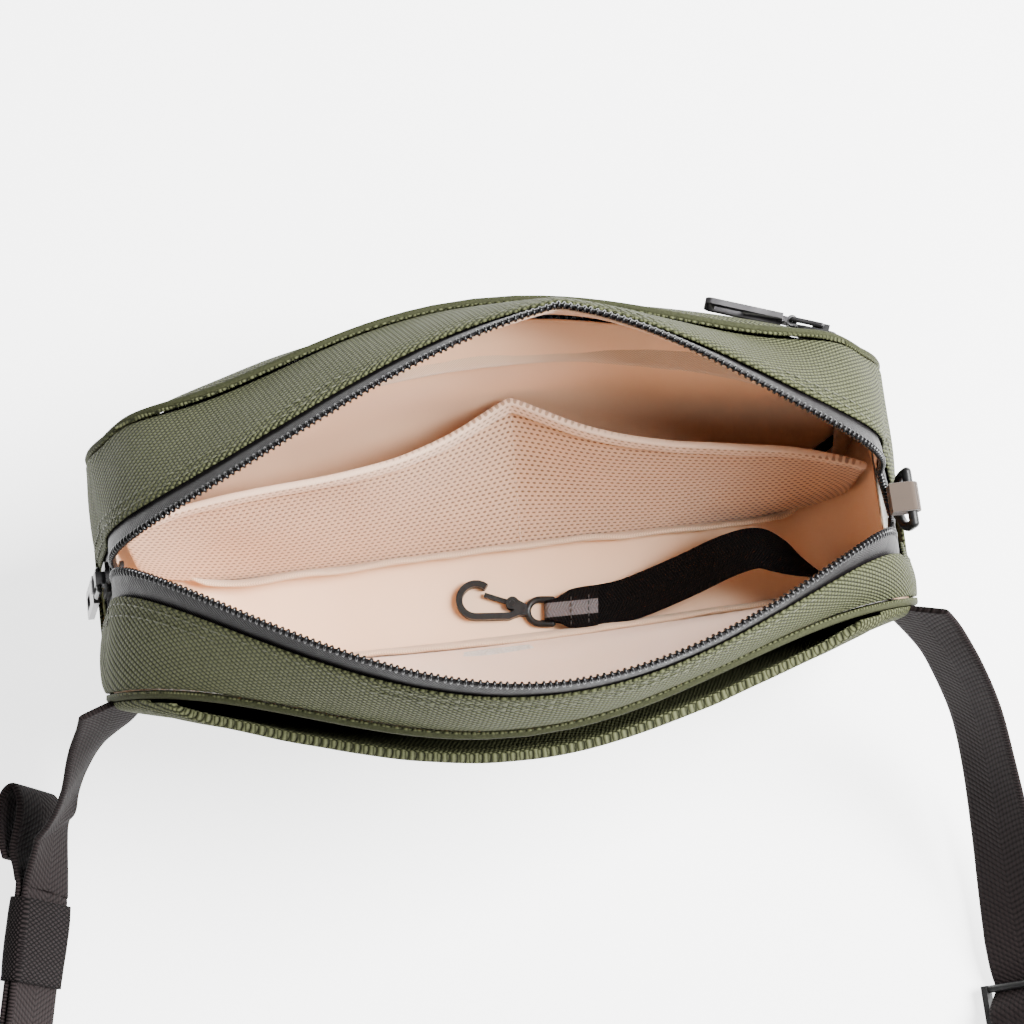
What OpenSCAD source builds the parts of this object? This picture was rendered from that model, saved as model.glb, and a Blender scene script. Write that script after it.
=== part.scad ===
// Zip-top sling bag, standing open, with its shoulder strap laid round in front of it.
// +X is the end with the D-ring, +Y the front face, +Z up. The origin is on the floor's underside.

/* [Body] */
// Width across the front and back panels
bag_w = 248; // [200:1:300]
// Height from the table to the panels' top seam
bag_h = 113; // [94:1:137]
// Height at which the panels are widest
shoulder_z = 60; // [52:1:66]
// Radius of the panels' two lower corners
corner_r = 40; // [30:1:50]
// Distance from the origin to the floor's front edge
floor_front = 25; // [20:1:32]
// Distance from the origin to the floor's back edge
floor_back = 22; // [18:1:28]
// How far the front face swells past the floor's front edge
front_swell = 39.8; // [30:0.1:46]
// How far the back face leans out at mid width, per unit of height
back_lean = 0.395; // [0.3:0.005:0.45]
// How far the faces lean out at their side edges, per unit of height
side_lean = 0.17; // [0.1:0.005:0.2]

/* [Mouth] */
// How far each end of the open mouth stands in from the bag's side
mouth_inset = 7; // [5:0.5:10]
// Height at which the mouth's two ends start
mouth_z = 88; // [80:1:92]
// Height of the mouth's highest point
mouth_top = 146; // [135:1:175]
// How far the back edge of the mouth is pulled back
back_open = 60.5; // [45:0.5:66]
// How far the front edge of the mouth is pulled forward
front_open = 50; // [36:0.5:55]

/* [Cloth] */
// Thickness of the outer cloth
cloth_t = 1.2; // [0.8:0.1:1.6]
// Thickness of the foam in the back and the floor
foam_t = 3; // [2:0.1:4]
// Thickness of the lining
lining_t = 0.8; // [0.5:0.1:1.1]
// Gap left between neighbouring layers
layer_gap = 0.1; // [0.05:0.05:0.2]
// Gap left between layers that are curved both ways
curve_gap = 0.3; // [0.2:0.05:0.5]
// Height of the bound seam allowance inside
binding_h = 8; // [5:0.5:10]
// Thickness of the bound seam allowance
binding_t = 2.2; // [1.5:0.1:3]

/* [Pockets] */
// Depth of the front pocket at its middle
pocket_d = 11; // [8:0.5:14]
// How far the slip pocket's mouth stands off the back
slip_gap = 9; // [7:0.5:12]
// Height of the slip pocket's hem
slip_h = 99; // [82:1:105]
// Height of the mesh pocket's top edge
mesh_h = 75; // [62:1:80]

/* [Zips] */
// Visible width of each zip tape
tape_w = 8; // [6:0.5:10]
// Thickness of the zip tapes
tape_t = 0.8; // [0.6:0.1:1]
// Distance between neighbouring teeth of one row
tooth_pitch = 3; // [2.5:0.1:3.6]
// Thickness of the teeth
tooth_t = 2.6; // [2:0.1:3]
// Clear slot between the two rows of closed teeth
row_gap = 1.0; // [0.8:0.1:1.4]
// Height of the front zip
zip_z = 88; // [78:1:92]
// Radius of the arc that the front zip follows
zip_r = 300; // [260:5:360]
// Width of the slot in the front face for the zip
zip_slot = 10.6; // [10:0.1:12]
// Length of each zip pull
pull_l = 27; // [20:1:32]

/* [Strap] */
// Width of the strap webbing
web_w = 25; // [20:1:30]
// Thickness of the strap webbing
web_t = 1.9; // [1.5:0.1:2.4]
// Length of the elastic keeper
keeper_l = 26; // [20:1:30]
// Running clearance of the parts that slide on the strap
slide_gap = 0.6; // [0.5:0.05:0.9]

/* [Key leash] */
// Width of the key leash
leash_w = 14.5; // [12:0.5:17]
// Thickness of the key leash
leash_t = 1.5; // [1.2:0.1:2]

/* [Hidden] */
$fn = 32;
green = "#7d8a70";
peach = "#d9bfa6";
black = "#1c1b1d";
charcoal = "#403838";
gunmetal = "#5a5a5c";

half_w = bag_w / 2;
mouth_half = half_w - mouth_inset;
top_rise = bag_h - shoulder_z;
outline_power = 2.8;
mouth_power = 2.6;
rim_steps = 28;
band_steps = 36;
end_steps = 3;
row_half = row_gap / 2;
tooth_len = 1.7;
tooth_reach = 1.6;
inner_inset = cloth_t + foam_t + lining_t + 4 * layer_gap;

// ---------- vectors ----------

function unit(v) = v / norm(v);
function signed_pow(v, p) = sign(v) * pow(abs(v), p);
function clamp(v, lo, hi) = min(max(v, lo), hi);
function mix(a, b, t) = a + (b - a) * t;
function run(pts, i = 0, s = 0) =
  i == len(pts) ? [] : concat([s + (i > 0 ? norm(pts[i] - pts[i - 1]) : 0)],
    run(pts, i + 1, s + (i > 0 ? norm(pts[i] - pts[i - 1]) : 0)));
function along(pts, dist, s) =
  [for (axis = [0:2]) lookup(s, [for (i = [0:len(pts) - 1]) [dist[i], pts[i][axis]]])];

// ---------- the bag's own shape ----------

// Upper outline of a panel, from its left edge (a = -90) over the top to its right (a = 90)
function upper_pt(a, inset = 0) = [
  (half_w - inset) * signed_pow(sin(a), 2 / outline_power),
  shoulder_z + (top_rise - inset) * pow(abs(cos(a)), 2 / outline_power)
];
function corner_pts(inset, side, from, to) = [
  for (a = [from:-15:to]) [
    side * (half_w - corner_r) + (corner_r - inset) * cos(a),
    corner_r + (corner_r - inset) * sin(a)
  ]
];
// Whole outline of a panel, clockwise seen from the back
function outline_pts(inset) = concat(
  [for (k = [0:rim_steps]) upper_pt(-90 + 180 * k / rim_steps, inset)],
  corner_pts(inset, 1, 0, -90),
  corner_pts(inset, -1, -90, -180)
);
function edge_x(z) = z < corner_r
  ? half_w - corner_r + sqrt(corner_r * corner_r - pow(corner_r - z, 2)) : half_w;

// The front face: swelling with height, curved in plan, rolled back at the shoulders
roll_z = zip_z + 5;
swell_z = zip_z + 7;
swell_power = 0.9;
roll_depth = 14;
roll_rise = 20;
roll_half = 80;
function front_y(x, z) =
  floor_front + front_swell * pow(sin(90 * z / swell_z), swell_power)
  - min(1, z / zip_z) * (zip_r - sqrt(zip_r * zip_r - x * x))
  - roll_depth * pow(max(0, z - roll_z) / roll_rise, 2) * pow(x / roll_half, 2);
// The back face: straight from the floor, leaning out most at mid width
function back_y(x, z) =
  -floor_back - z * (side_lean + (back_lean - side_lean)
    * pow(cos(90 * min(1, abs(x) / half_w)), 2));
function face_y(side, x, z) = side > 0 ? front_y(x, z) : back_y(x, z);

// Edges of the open mouth
peak_x = 23;
front_left_run = mouth_half + peak_x + 4;
front_right_run = mouth_half - peak_x + 8;
back_peak_x = 12;
back_run = mouth_half + 15;
function mouth_front(x) =
  let (s = clamp(x < peak_x ? (peak_x - x) / front_left_run : (x - peak_x) / front_right_run, 0, 1))
  front_open * (0.5 * pow(cos(90 * s), 2) + 0.5 * (1 - s));
function mouth_back(x) =
  -back_open * pow(cos(90 * clamp((x - back_peak_x) / back_run, -1, 1)), 1.1);
end_drop = mouth_z - shoulder_z;
end_out = half_w - 0.8 - mouth_half;
end_lean = atan(end_out / end_drop);
right_vertex_y = -5;
// Tooth line of one half, from the closed left end over the mouth to the stitched right end
function chain_pt(side, k) =
  k < end_steps ? [
    -mouth_half - end_out * (1 - k / end_steps),
    side * row_half,
    shoulder_z + end_drop * k / end_steps
  ] :
  k > band_steps - end_steps ?
    let (t = (k - band_steps + end_steps) / end_steps)
    [
      mouth_half + end_out * t,
      mix(side > 0 ? mouth_front(mouth_half) : mouth_back(mouth_half),
        right_vertex_y, min(1, t * 1.2)) + side * row_half,
      mouth_z - end_drop * t
    ] :
    let (
      a = -90 + 180 * (k - end_steps) / (band_steps - 2 * end_steps),
      x = mouth_half * signed_pow(sin(a), 2 / mouth_power)
    )
    [
      x,
      (side > 0 ? mouth_front(x) : mouth_back(x)) + side * row_half,
      mouth_z + (mouth_top - mouth_z) * pow(abs(cos(a)), 2 / mouth_power)
    ];
function seam_pt(side, k) =
  let (p = upper_pt(-90 + 180 * k / band_steps))
  [p[0], face_y(side, p[0], p[1]) - side * (cloth_t + layer_gap), p[1]];
function band_len(side, k) = norm(seam_pt(side, k) - chain_pt(side, k));
function band_pt(side, k, d) =
  chain_pt(side, k) + unit(seam_pt(side, k) - chain_pt(side, k)) * d;
// Rows of points across one half of the top, from d0 off the tooth line to d1 short of the seam
function band_rows(side, d0, d1, columns) = [
  for (k = [0:band_steps]) [
    for (c = [0:columns]) band_pt(side, k, mix(d0, band_len(side, k) - d1, c / columns))
  ]
];
function strip_rows(side, d0, d1) = [
  for (k = [0:band_steps]) [for (d = [d0, d1]) band_pt(side, k, d)]
];

// ---------- solids made from rows of points ----------

function quad(a, b, c, d) = [[a, b, c], [a, c, d]];
function flat_list(l) = [for (a = l) for (b = a) b];

// A sheet of cloth: a grid of points given thickness from lo to hi along its normals
module sheet(grid, lo, hi) {
  n = len(grid);
  m = len(grid[0]);
  normals = [for (i = [0:n - 1]) [for (j = [0:m - 1]) unit(cross(
    grid[min(i + 1, n - 1)][j] - grid[max(i - 1, 0)][j],
    grid[i][min(j + 1, m - 1)] - grid[i][max(j - 1, 0)]))]];
  pts = concat(
    [for (i = [0:n - 1]) for (j = [0:m - 1]) grid[i][j] + normals[i][j] * hi],
    [for (i = [0:n - 1]) for (j = [0:m - 1]) grid[i][j] + normals[i][j] * lo]
  );
  k = n * m;
  faces = concat(
    [for (i = [0:n - 2]) for (j = [0:m - 2])
      quad(i * m + j, i * m + j + 1, (i + 1) * m + j + 1, (i + 1) * m + j)],
    [for (i = [0:n - 2]) for (j = [0:m - 2])
      quad(k + i * m + j, k + (i + 1) * m + j, k + (i + 1) * m + j + 1, k + i * m + j + 1)],
    [for (i = [0:n - 2])
      quad(k + i * m, i * m, (i + 1) * m, k + (i + 1) * m)],
    [for (i = [0:n - 2])
      quad(k + (i + 2) * m - 1, (i + 2) * m - 1, (i + 1) * m - 1, k + (i + 1) * m - 1)],
    [for (j = [0:m - 2]) quad(k + j + 1, j + 1, j, k + j)],
    [for (j = [0:m - 2])
      quad(k + (n - 1) * m + j, (n - 1) * m + j, (n - 1) * m + j + 1, k + (n - 1) * m + j + 1)]
  );
  polyhedron(pts, flat_list(faces));
}

// A solid skinned over a row of equal rings; each ring runs clockwise seen from the far end
module skin(rings, closed = false, flip = false) {
  n = len(rings);
  m = len(rings[0]);
  last = closed ? n - 1 : n - 2;
  walls = flat_list([for (i = [0:last]) for (j = [0:m - 1])
    quad(i * m + j, i * m + (j + 1) % m,
      ((i + 1) % n) * m + (j + 1) % m, ((i + 1) % n) * m + j)]);
  caps = closed ? [] : [
    [for (j = [m - 1:-1:0]) j],
    [for (j = [0:m - 1]) (n - 1) * m + j]
  ];
  faces = concat(walls, caps);
  polyhedron(flat_list(rings), flip ? [for (f = faces) [f[2], f[1], f[0],
    for (i = [len(f) - 1:-1:3]) f[i]]] : faces);
}

// A face panel: the outline filled in, from depth lo to depth hi behind the outer face.
// dish is how much deeper the middle lies than the rim, spread by its power.
module face_panel(side, lo, hi, inset, dish = 0, power = 2) {
  rim = outline_pts(inset);
  steps = [0.04, 0.18, 0.34, 0.5, 0.64, 0.77, 0.89, 0.95, 1];
  function ring(r, depth) = [for (p = rim)
    let (x = p[0] * r, z = shoulder_z + (p[1] - shoulder_z) * r)
    [x, face_y(side, x, z) - side * (depth + dish * (1 - pow(r, power))), z]];
  skin(concat([for (r = steps) ring(r, lo)],
    [for (i = [len(steps) - 1:-1:0]) ring(steps[i], hi)]), flip = side < 0);
}

// One layer of the floor and sides: the lower outline's shell cut to the two faces
module side_shell(inset, thickness, top = shoulder_z) {
  module lower(i) {
    intersection() {
      union() {
        translate([-(half_w - i), corner_r]) square([2 * (half_w - i), 2 * corner_r]);
        translate([-(half_w - corner_r), i]) square([2 * (half_w - corner_r), 2 * corner_r]);
        for (s = [-1, 1]) translate([s * (half_w - corner_r), corner_r])
          circle(r = corner_r - i, $fn = 64);
      }
      translate([-bag_w, -1]) square([2 * bag_w, 1 + top]);
    }
  }
  inset_y = cloth_t + layer_gap;
  heights = [0, 4, 10, 20, 30, 40, 50, shoulder_z];
  edge = concat(
    [for (z = heights) [front_y(edge_x(z), z) - inset_y, z]],
    [for (i = [len(heights) - 1:-1:0])
      [back_y(edge_x(heights[i]), heights[i]) + inset_y, heights[i]]]
  );
  intersection() {
    rotate([90, 0, 0]) linear_extrude(400, center = true) difference() {
      lower(inset);
      lower(inset + thickness);
      translate([-(half_w - inset - thickness), top - 1])
        square([2 * (half_w - inset - thickness), 2]);
    }
    rotate([90, 0, 90]) linear_extrude(2 * bag_w, center = true) polygon(edge);
  }
}

// A small six-sided block with its own axes, for zip teeth
module block(c, t, d, n, size) {
  corner = function(a, b, e) c + t * a * size[0] / 2 + d * b * size[1] / 2 + n * e * size[2] / 2;
  pts = [
    corner(-1, -1, -1), corner(1, -1, -1), corner(1, 1, -1), corner(-1, 1, -1),
    corner(-1, -1, 1), corner(1, -1, 1), corner(1, 1, 1), corner(-1, 1, 1)
  ];
  faces = [[0, 1, 2, 3], [4, 5, 1, 0], [7, 6, 5, 4], [5, 6, 2, 1], [6, 7, 3, 2], [7, 4, 0, 3]];
  hand = cross(t, d) * n > 0;
  polyhedron(pts, hand ? faces : [for (f = faces) [f[3], f[2], f[1], f[0]]]);
}

// Width direction of webbing: upright, then tipped by lean towards the route's right-hand side
function tangent(pts, i) = unit(pts[min(i + 1, len(pts) - 1)] - pts[max(i - 1, 0)]);
function width_dir(t, lean) =
  let (
    right = unit(cross(t, [0, 0, 1])),
    up = cross(right, t)
  )
  up * cos(lean) + right * sin(lean);
module webbing(pts, leans, width, thickness, widths = []) {
  rings = [for (i = [0:len(pts) - 1])
    let (
      t = tangent(pts, i),
      w = width_dir(t, leans[i]) * (len(widths) > 0 ? widths[i] : width) / 2,
      n = unit(cross(t, w)) * thickness / 2
    )
    [pts[i] + w + n, pts[i] + w - n, pts[i] - w - n, pts[i] - w + n]];
  skin(rings);
}
// A smooth curve through chosen points, four steps to a span
function spline(p, steps = 4) = concat([for (i = [0:len(p) - 2]) for (k = [0:steps - 1])
  let (
    t = k / steps,
    a = p[max(i - 1, 0)], b = p[i], c = p[i + 1], d = p[min(i + 2, len(p) - 1)]
  )
  0.5 * (2 * b + (c - a) * t + (2 * a - 5 * b + 4 * c - d) * t * t
    + (3 * b - a - 3 * c + d) * t * t * t)], [p[len(p) - 1]]);

// ---------- floor and sides ----------

module bottom_gusset() {
  color(green) side_shell(0, cloth_t);
}

foam_drop = 6;
module base_foam() {
  color("white") side_shell(cloth_t + layer_gap, foam_t, shoulder_z - foam_drop);
}

module lining_base() {
  color(peach) side_shell(cloth_t + foam_t + 2 * layer_gap, lining_t);
}

// ---------- back ----------

module back_panel() {
  color(green) face_panel(-1, 0, cloth_t, 0);
}

back_foam_depth = cloth_t + curve_gap;
module back_foam() {
  color("white") face_panel(-1, back_foam_depth, back_foam_depth + foam_t, inner_inset);
}

back_lining_depth = back_foam_depth + foam_t + curve_gap;
module lining_back() {
  color(peach) face_panel(-1, back_lining_depth, back_lining_depth + lining_t, inner_inset);
}

// The slip pocket lies against the back and bellies out towards its hem
function slip_pt(u, v) =
  let (
    z = mix(2, slip_h, v),
    half = slip_half(z),
    x = half * u,
    stand_off = layer_gap + slip_gap * pow(v, 0.7) * (1 - pow(abs(u), 3))
  )
  [x, back_y(x, z) - stand_off, z];
function slip_half(z) = (z < shoulder_z ? edge_x(z)
  : half_w * pow(1 - pow((z - shoulder_z) / top_rise, outline_power), 1 / outline_power)) - 1;
module slip_pocket() {
  rows = [for (v = [0, 0.04, 0.1, 0.2, 0.35, 0.6, 0.8, 0.95]) [for (u = [-10:10]) slip_pt(u / 10, v)]];
  color(green) sheet(rows, -cloth_t, 0);
}

module slip_pocket_hem() {
  rows = [for (v = [0.951, 1]) [for (u = [-10:10]) slip_pt(u / 10, v)]];
  color(green) sheet(rows, -2 * cloth_t, 0);
}

// ---------- front ----------

// Half widths that the front zip reaches to, left and right
zip_left = 96;
zip_right = 107;
slot_end = 3;
zip_center_y = front_y(0, zip_z) - zip_r;
module front_skin() {
  face_panel(1, 0, cloth_t, 0);
}

module front_panel_lower() {
  color(green) intersection() {
    front_skin();
    union() {
      translate([-bag_w, -bag_w, -1]) cube([2 * bag_w, 2 * bag_w, 1 + zip_z - zip_slot / 2]);
      for (x = [-bag_w, zip_right + slot_end]) translate([x, -bag_w, 0])
        cube([bag_w - (x < 0 ? zip_left + slot_end : 0), 2 * bag_w, zip_z + zip_slot / 2 - layer_gap]);
    }
  }
}

module front_panel_upper() {
  color(green) intersection() {
    front_skin();
    translate([-bag_w, -bag_w, zip_z + zip_slot / 2]) cube([2 * bag_w, 2 * bag_w, bag_h]);
  }
}

// Room behind the front face for the zip's slider
slider_room = 3;
divider_depth = cloth_t + slider_room;
dish_power = 8;
module front_pocket_lining() {
  color("#6f7a63") face_panel(1, divider_depth, divider_depth + lining_t, inner_inset,
    pocket_d, dish_power);
}

lining_front_depth = divider_depth + lining_t + 2 * curve_gap;
module lining_front() {
  color(peach) face_panel(1, lining_front_depth, lining_front_depth + lining_t, inner_inset,
    pocket_d, dish_power);
}

// Angles of the front zip's two ends and of its slider at rest, from straight ahead
zip_left_a = asin(zip_left / zip_r);
zip_right_a = asin(zip_right / zip_r);
front_slider_a = asin((zip_right - 5) / zip_r);
front_tape_sink = 0.2;
front_tape_r = zip_r - front_tape_sink;

module zip_arc(r0, r1, z0, z1, left_a, right_a) {
  translate([0, zip_center_y, 0]) rotate([0, 0, 90 - right_a])
    rotate_extrude(angle = left_a + right_a, $fn = 360)
      translate([r0, z0]) square([r1 - r0, z1 - z0]);
}

front_tape_w = zip_slot / 2 - row_half - layer_gap;
module front_zip_tape() {
  color(black) for (s = [-1, 1]) {
    z0 = zip_z + (s > 0 ? row_half : -row_half - front_tape_w);
    zip_arc(front_tape_r - tape_t, front_tape_r, z0, z0 + front_tape_w,
      zip_left_a - 1, zip_right_a - 0.5);
  }
}

front_tooth_r = front_tape_r - tape_t / 2;
module front_zip_teeth() {
  left = zip_left_a - 2;
  right = front_slider_a - 2.2;
  step = tooth_pitch / zip_r * 180 / PI;
  color(black) for (a = [-left:step:right]) {
    radial = [sin(a), cos(a), 0];
    spot = [0, zip_center_y, zip_z] + radial * front_tooth_r;
    for (s = [-1, 1]) block(spot + [0, 0, s * (row_half + tooth_reach / 2)],
      [cos(a), -sin(a), 0], radial, [0, 0, 1], [tooth_len, tooth_t, tooth_reach]);
  }
}

// ---------- zip slider, bail and pull, along +X with the outside at +Z ----------

slider_l = 12;
slider_w = 9.4;
plate_t = 1.3;
channel_half = tooth_t / 2 + 0.35;
crown_x = 1;
bail_r = 0.8;
bail_l = 9;
bail_half = 3.1;
crown_z = channel_half + plate_t + 1.7;

module slider() {
  for (s = [-1, 1]) translate([0, 0, s * (channel_half + plate_t / 2)])
    linear_extrude(plate_t, center = true) slider_outline();
  translate([slider_l / 2 - 2.4, 0, 0])
    cube([3.4, row_gap - 0.4, 2 * channel_half + 0.4], center = true);
  difference() {
    translate([crown_x - 2.6, -1.9, channel_half + plate_t - 0.3]) cube([5.2, 3.8, 3.1]);
    translate([crown_x, 0, crown_z]) rotate([90, 0, 0]) cylinder(r = bail_r + 0.06, h = 12, center = true);
  }
}

module slider_outline() {
  r = 2;
  square([slider_l, slider_w - 2 * r], center = true);
  square([slider_l - 2 * r, slider_w], center = true);
  for (x = [-1, 1]) for (y = [-1, 1])
    translate([x * (slider_l / 2 - r), y * (slider_w / 2 - r)]) circle(r = r);
}

module rod(a, b, r) {
  d = b - a;
  translate(a) rotate([0, acos(d[2] / norm(d)), atan2(d[1], d[0])]) cylinder(r = r, h = norm(d));
}

module bail() {
  a = [crown_x, 0, crown_z];
  b = a - [bail_l, 0, 0];
  y = [0, bail_half, 0];
  for (e = [a, b]) rod(e - y, e + y, bail_r);
  for (s = [-1, 1]) rod(a + s * y, b + s * y, bail_r);
  for (e = [a, b]) for (s = [-1, 1]) translate(e + s * y) sphere(r = bail_r);
}

pull_t = 1.8;
pull_w = 8.6;
module pull() {
  x0 = crown_x - bail_l;
  difference() {
    translate([0, 0, crown_z]) union() {
      translate([x0, 0, 0]) rotate([90, 0, 0]) cylinder(r = 1.7, h = 3.8, center = true);
      translate([x0 - 4, -1.9, -pull_t / 2]) cube([4, 3.8, pull_t]);
      translate([x0 - pull_l, 0, -pull_t / 2]) linear_extrude(pull_t) pull_outline();
    }
    translate([x0, 0, crown_z]) rotate([90, 0, 0]) cylinder(r = bail_r + 0.06, h = 12, center = true);
  }
}

module pull_outline() {
  l = pull_l - 3;
  difference() {
    union() {
      translate([2, -pull_w / 2]) square([l - 2, pull_w]);
      translate([0, -pull_w / 2 + 2]) square([l, pull_w - 4]);
      for (s = [-1, 1]) translate([2, s * (pull_w / 2 - 2)]) circle(r = 2);
    }
    translate([3.2, -1.9]) square([9, 3.8]);
  }
}

module on_front_zip(a) {
  translate([0, zip_center_y, zip_z]) rotate([0, 0, -a])
    translate([0, front_tooth_r, 0]) rotate([-90, 0, 0]) children();
}

module front_slider() {
  color(black) on_front_zip(front_slider_a) slider();
}

module front_bail() {
  color(black) on_front_zip(front_slider_a) bail();
}

module front_pull() {
  color(gunmetal) on_front_zip(front_slider_a) pull();
}

// The main slider stands on the closed left end, its nose at the foot of the open mouth
tape_depth = cloth_t + 2 * layer_gap;
band_tape_depth = tape_depth + tape_t / 2;
main_slider_down = 7;
function end_up() = [sin(end_lean), 0, cos(end_lean)];
function end_outward() = [-cos(end_lean), 0, sin(end_lean)];
main_slider_at = [-mouth_half, 0, mouth_z] - end_up() * main_slider_down
  - end_outward() * band_tape_depth;
module on_main_zip() {
  translate(main_slider_at) rotate([0, -90 + end_lean, 0]) children();
}

module main_slider() {
  color(black) on_main_zip() slider();
}

module main_bail() {
  color(black) on_main_zip() bail();
}

module main_pull() {
  color(gunmetal) on_main_zip() pull();
}

// ---------- top halves and main zip ----------

// One layer of a top half, from depth lo to depth hi under its outer face
module top_layer(side, rows, lo, hi) {
  sheet(rows, min(-side * lo, -side * hi), max(-side * lo, -side * hi));
}

module top_gusset(side) {
  color(green) top_layer(side, band_rows(side, tape_w, 0.2, 4), 0, cloth_t);
}
module top_gusset_front() {
  top_gusset(1);
}
module top_gusset_back() {
  top_gusset(-1);
}

module main_zip_tape(side) {
  color(black) top_layer(side, strip_rows(side, 0.3, tape_w + 5), tape_depth, tape_depth + tape_t);
}
module main_zip_tape_front() {
  main_zip_tape(1);
}
module main_zip_tape_back() {
  main_zip_tape(-1);
}

top_lining_depth = tape_depth + tape_t + curve_gap;
lining_start = 3;
module top_lining(side) {
  color(peach) top_layer(side, band_rows(side, lining_start, inner_inset + 3, 4),
    top_lining_depth, top_lining_depth + lining_t);
}
module top_lining_front() {
  top_lining(1);
}
module top_lining_back() {
  top_lining(-1);
}

module main_zip_teeth(side) {
  line = [for (k = [0:band_steps - 1]) chain_pt(side, k)];
  out = [for (k = [0:band_steps - 1]) unit(seam_pt(side, k) - chain_pt(side, k))];
  dist = run(line);
  total = dist[len(dist) - 1];
  color(black) for (s = [1.5:tooth_pitch:total - 2]) {
    t = unit(along(line, dist, s + 0.5) - along(line, dist, s - 0.5));
    d0 = along(out, dist, s);
    n = unit(cross(t, d0)) * side;
    d = unit(d0 - t * (t * d0));
    block(along(line, dist, s) + d * tooth_reach / 2 - n * band_tape_depth,
      t, d, n, [tooth_len, tooth_reach, tooth_t]);
  }
}
module main_zip_teeth_front() {
  main_zip_teeth(1);
}
module main_zip_teeth_back() {
  main_zip_teeth(-1);
}

// ---------- inside ----------

// Bound seam allowance standing in from a face's outline
module seam_binding(side, depth) {
  foot = outline_pts(inner_inset + layer_gap);
  head = outline_pts(inner_inset + layer_gap + binding_h);
  rings = [for (i = [0:len(foot) - 1])
    let (
      f = foot[i], h = head[i],
      y = face_y(side, f[0], f[1]) - side * depth,
      rise = h[1] > shoulder_z ? top_rise : shoulder_z,
      share = max(abs(h[0]) / (half_w - inner_inset),
        abs(h[1] - shoulder_z) / (rise - inner_inset)),
      dip = side > 0 ? pocket_d * (1 - pow(share, dish_power)) : 0,
      y1 = face_y(side, h[0], h[1]) - side * (depth + dip),
      b = side * binding_t
    )
    [[f[0], y, f[1]], [h[0], y1, h[1]], [h[0], y1 - b, h[1]], [f[0], y - b, f[1]]]];
  color(peach) skin(rings, closed = true, flip = side > 0);
}

binding_stand = 1.8;
front_binding_depth = lining_front_depth + lining_t + binding_stand;
module binding_front() {
  seam_binding(1, front_binding_depth);
}

module binding_back() {
  seam_binding(-1, back_lining_depth + lining_t + layer_gap);
}

// The mesh pocket hangs off the front wall, stitched to it at its middle
stitch_x = 8;
mesh_foot_z = inner_inset + 3;
mesh_foot_y = floor_front - 12.5;
mesh_half = half_w - inner_inset - 4.5;
function mesh_bump(x) = exp(-pow((x - stitch_x) / 30, 2));
function mesh_top_y(x) = 24 + 18.5 * mesh_bump(x) - 6 * max(0, x - stitch_x) / 100
  - 9 * pow(abs(x) / mesh_half, 6);
function mesh_low_z(x) = mesh_foot_z + corner_r
  - sqrt(corner_r * corner_r - pow(max(0, abs(x) - (half_w - corner_r) + 6), 2));
function mesh_pt(x, v) =
  let (
    z0 = mesh_low_z(x),
    z = mix(z0, mesh_h + 3 * mesh_bump(x), v)
  )
  [x, mix(mesh_foot_y, mesh_top_y(x), v), z];
mesh_x = [for (u = [-12:12]) mesh_half * u / 12];
module mesh_pocket() {
  rows = [for (v = [0, 0.25, 0.5, 0.75, 0.92]) [for (x = mesh_x) mesh_pt(x, v)]];
  color(peach) sheet(rows, -lining_t, 0);
}

module mesh_pocket_trim() {
  rows = [for (v = [0.925, 1]) [for (x = mesh_x) mesh_pt(x, v)]];
  color(peach) sheet(rows, -2 * lining_t, lining_t);
}

// ---------- D-ring on the right end ----------

ring_wire = 1.5;
ring_inner = 8;
ring_bar_at = [mouth_half + 7.4, -4, mouth_z - 7];
module d_ring_tab() {
  loop_r = ring_wire + 0.06;
  skin_t = 1.2;
  color("#b49a7e") translate(ring_bar_at) rotate([90, 0, 0])
    linear_extrude(9, center = true) difference() {
      union() {
        circle(r = loop_r + skin_t);
        translate([-6.4, -loop_r - skin_t]) square([6.4, 2 * (loop_r + skin_t)]);
      }
      circle(r = loop_r);
    }
}

module d_ring() {
  leg = 3;
  color(black) translate(ring_bar_at) rotate([0, end_lean, 0]) {
    rod([0, -ring_inner, 0], [0, ring_inner, 0], ring_wire);
    for (s = [-1, 1]) {
      rod([0, s * ring_inner, 0], [0, s * ring_inner, -leg], ring_wire);
      translate([0, s * ring_inner, 0]) sphere(r = ring_wire);
    }
    translate([0, 0, -leg]) rotate([-90, 0, 90]) rotate_extrude(angle = 180)
      translate([ring_inner, 0]) circle(r = ring_wire);
  }
}

// ---------- key leash and hook ----------

eye_wire = 1.1;
eye_r = 4;
hook_t = 3.4;
hook_at = [11.6, -10, inner_inset + 0.5 + hook_t / 2];
hook_turn = -7;
module on_hook() {
  translate(hook_at) rotate([0, 0, hook_turn]) children();
}
eye_bar_at = hook_at + eye_r * [cos(hook_turn), sin(hook_turn), 0];

leash_stops = [
  [17.6, -10.7, 7.4], [20.5, -10.9, 8], [26, -11, 8.6], [40, -10.4, 11.5], [58, -6.8, 19],
  [72, -3.5, 27], [82, -2.5, 30], [89, -5, 27.5], [96, -9, 25], [104, -13, 23]
];
leash_leans = [90, 90, 90, 88, 84, 78, 62, 35, 10, 0];
leash_widths = [5.2, 7.4, leash_w, leash_w, leash_w, leash_w, leash_w, leash_w, leash_w, leash_w];
module key_leash() {
  flat_leans = [for (a = leash_leans) [a, 0, 0]];
  flat_widths = [for (a = leash_widths) [a, 0, 0]];
  color(black) {
    webbing(spline(leash_stops), [for (a = spline(flat_leans)) a[0]], leash_w, leash_t,
      [for (a = spline(flat_widths)) a[0]]);
    translate(eye_bar_at) rotate([0, 0, hook_turn]) rotate([90, 0, 0])
      linear_extrude(5.2, center = true) difference() {
        circle(r = eye_wire + 0.06 + 1.1);
        circle(r = eye_wire + 0.06);
      }
  }
}

bend_at = [-20.9, 3.6];
bend_r = 5.5;
hook_wire = 2.1;
gate_pivot = [-9, 2.6];
gate_pin = 0.9;
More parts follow.
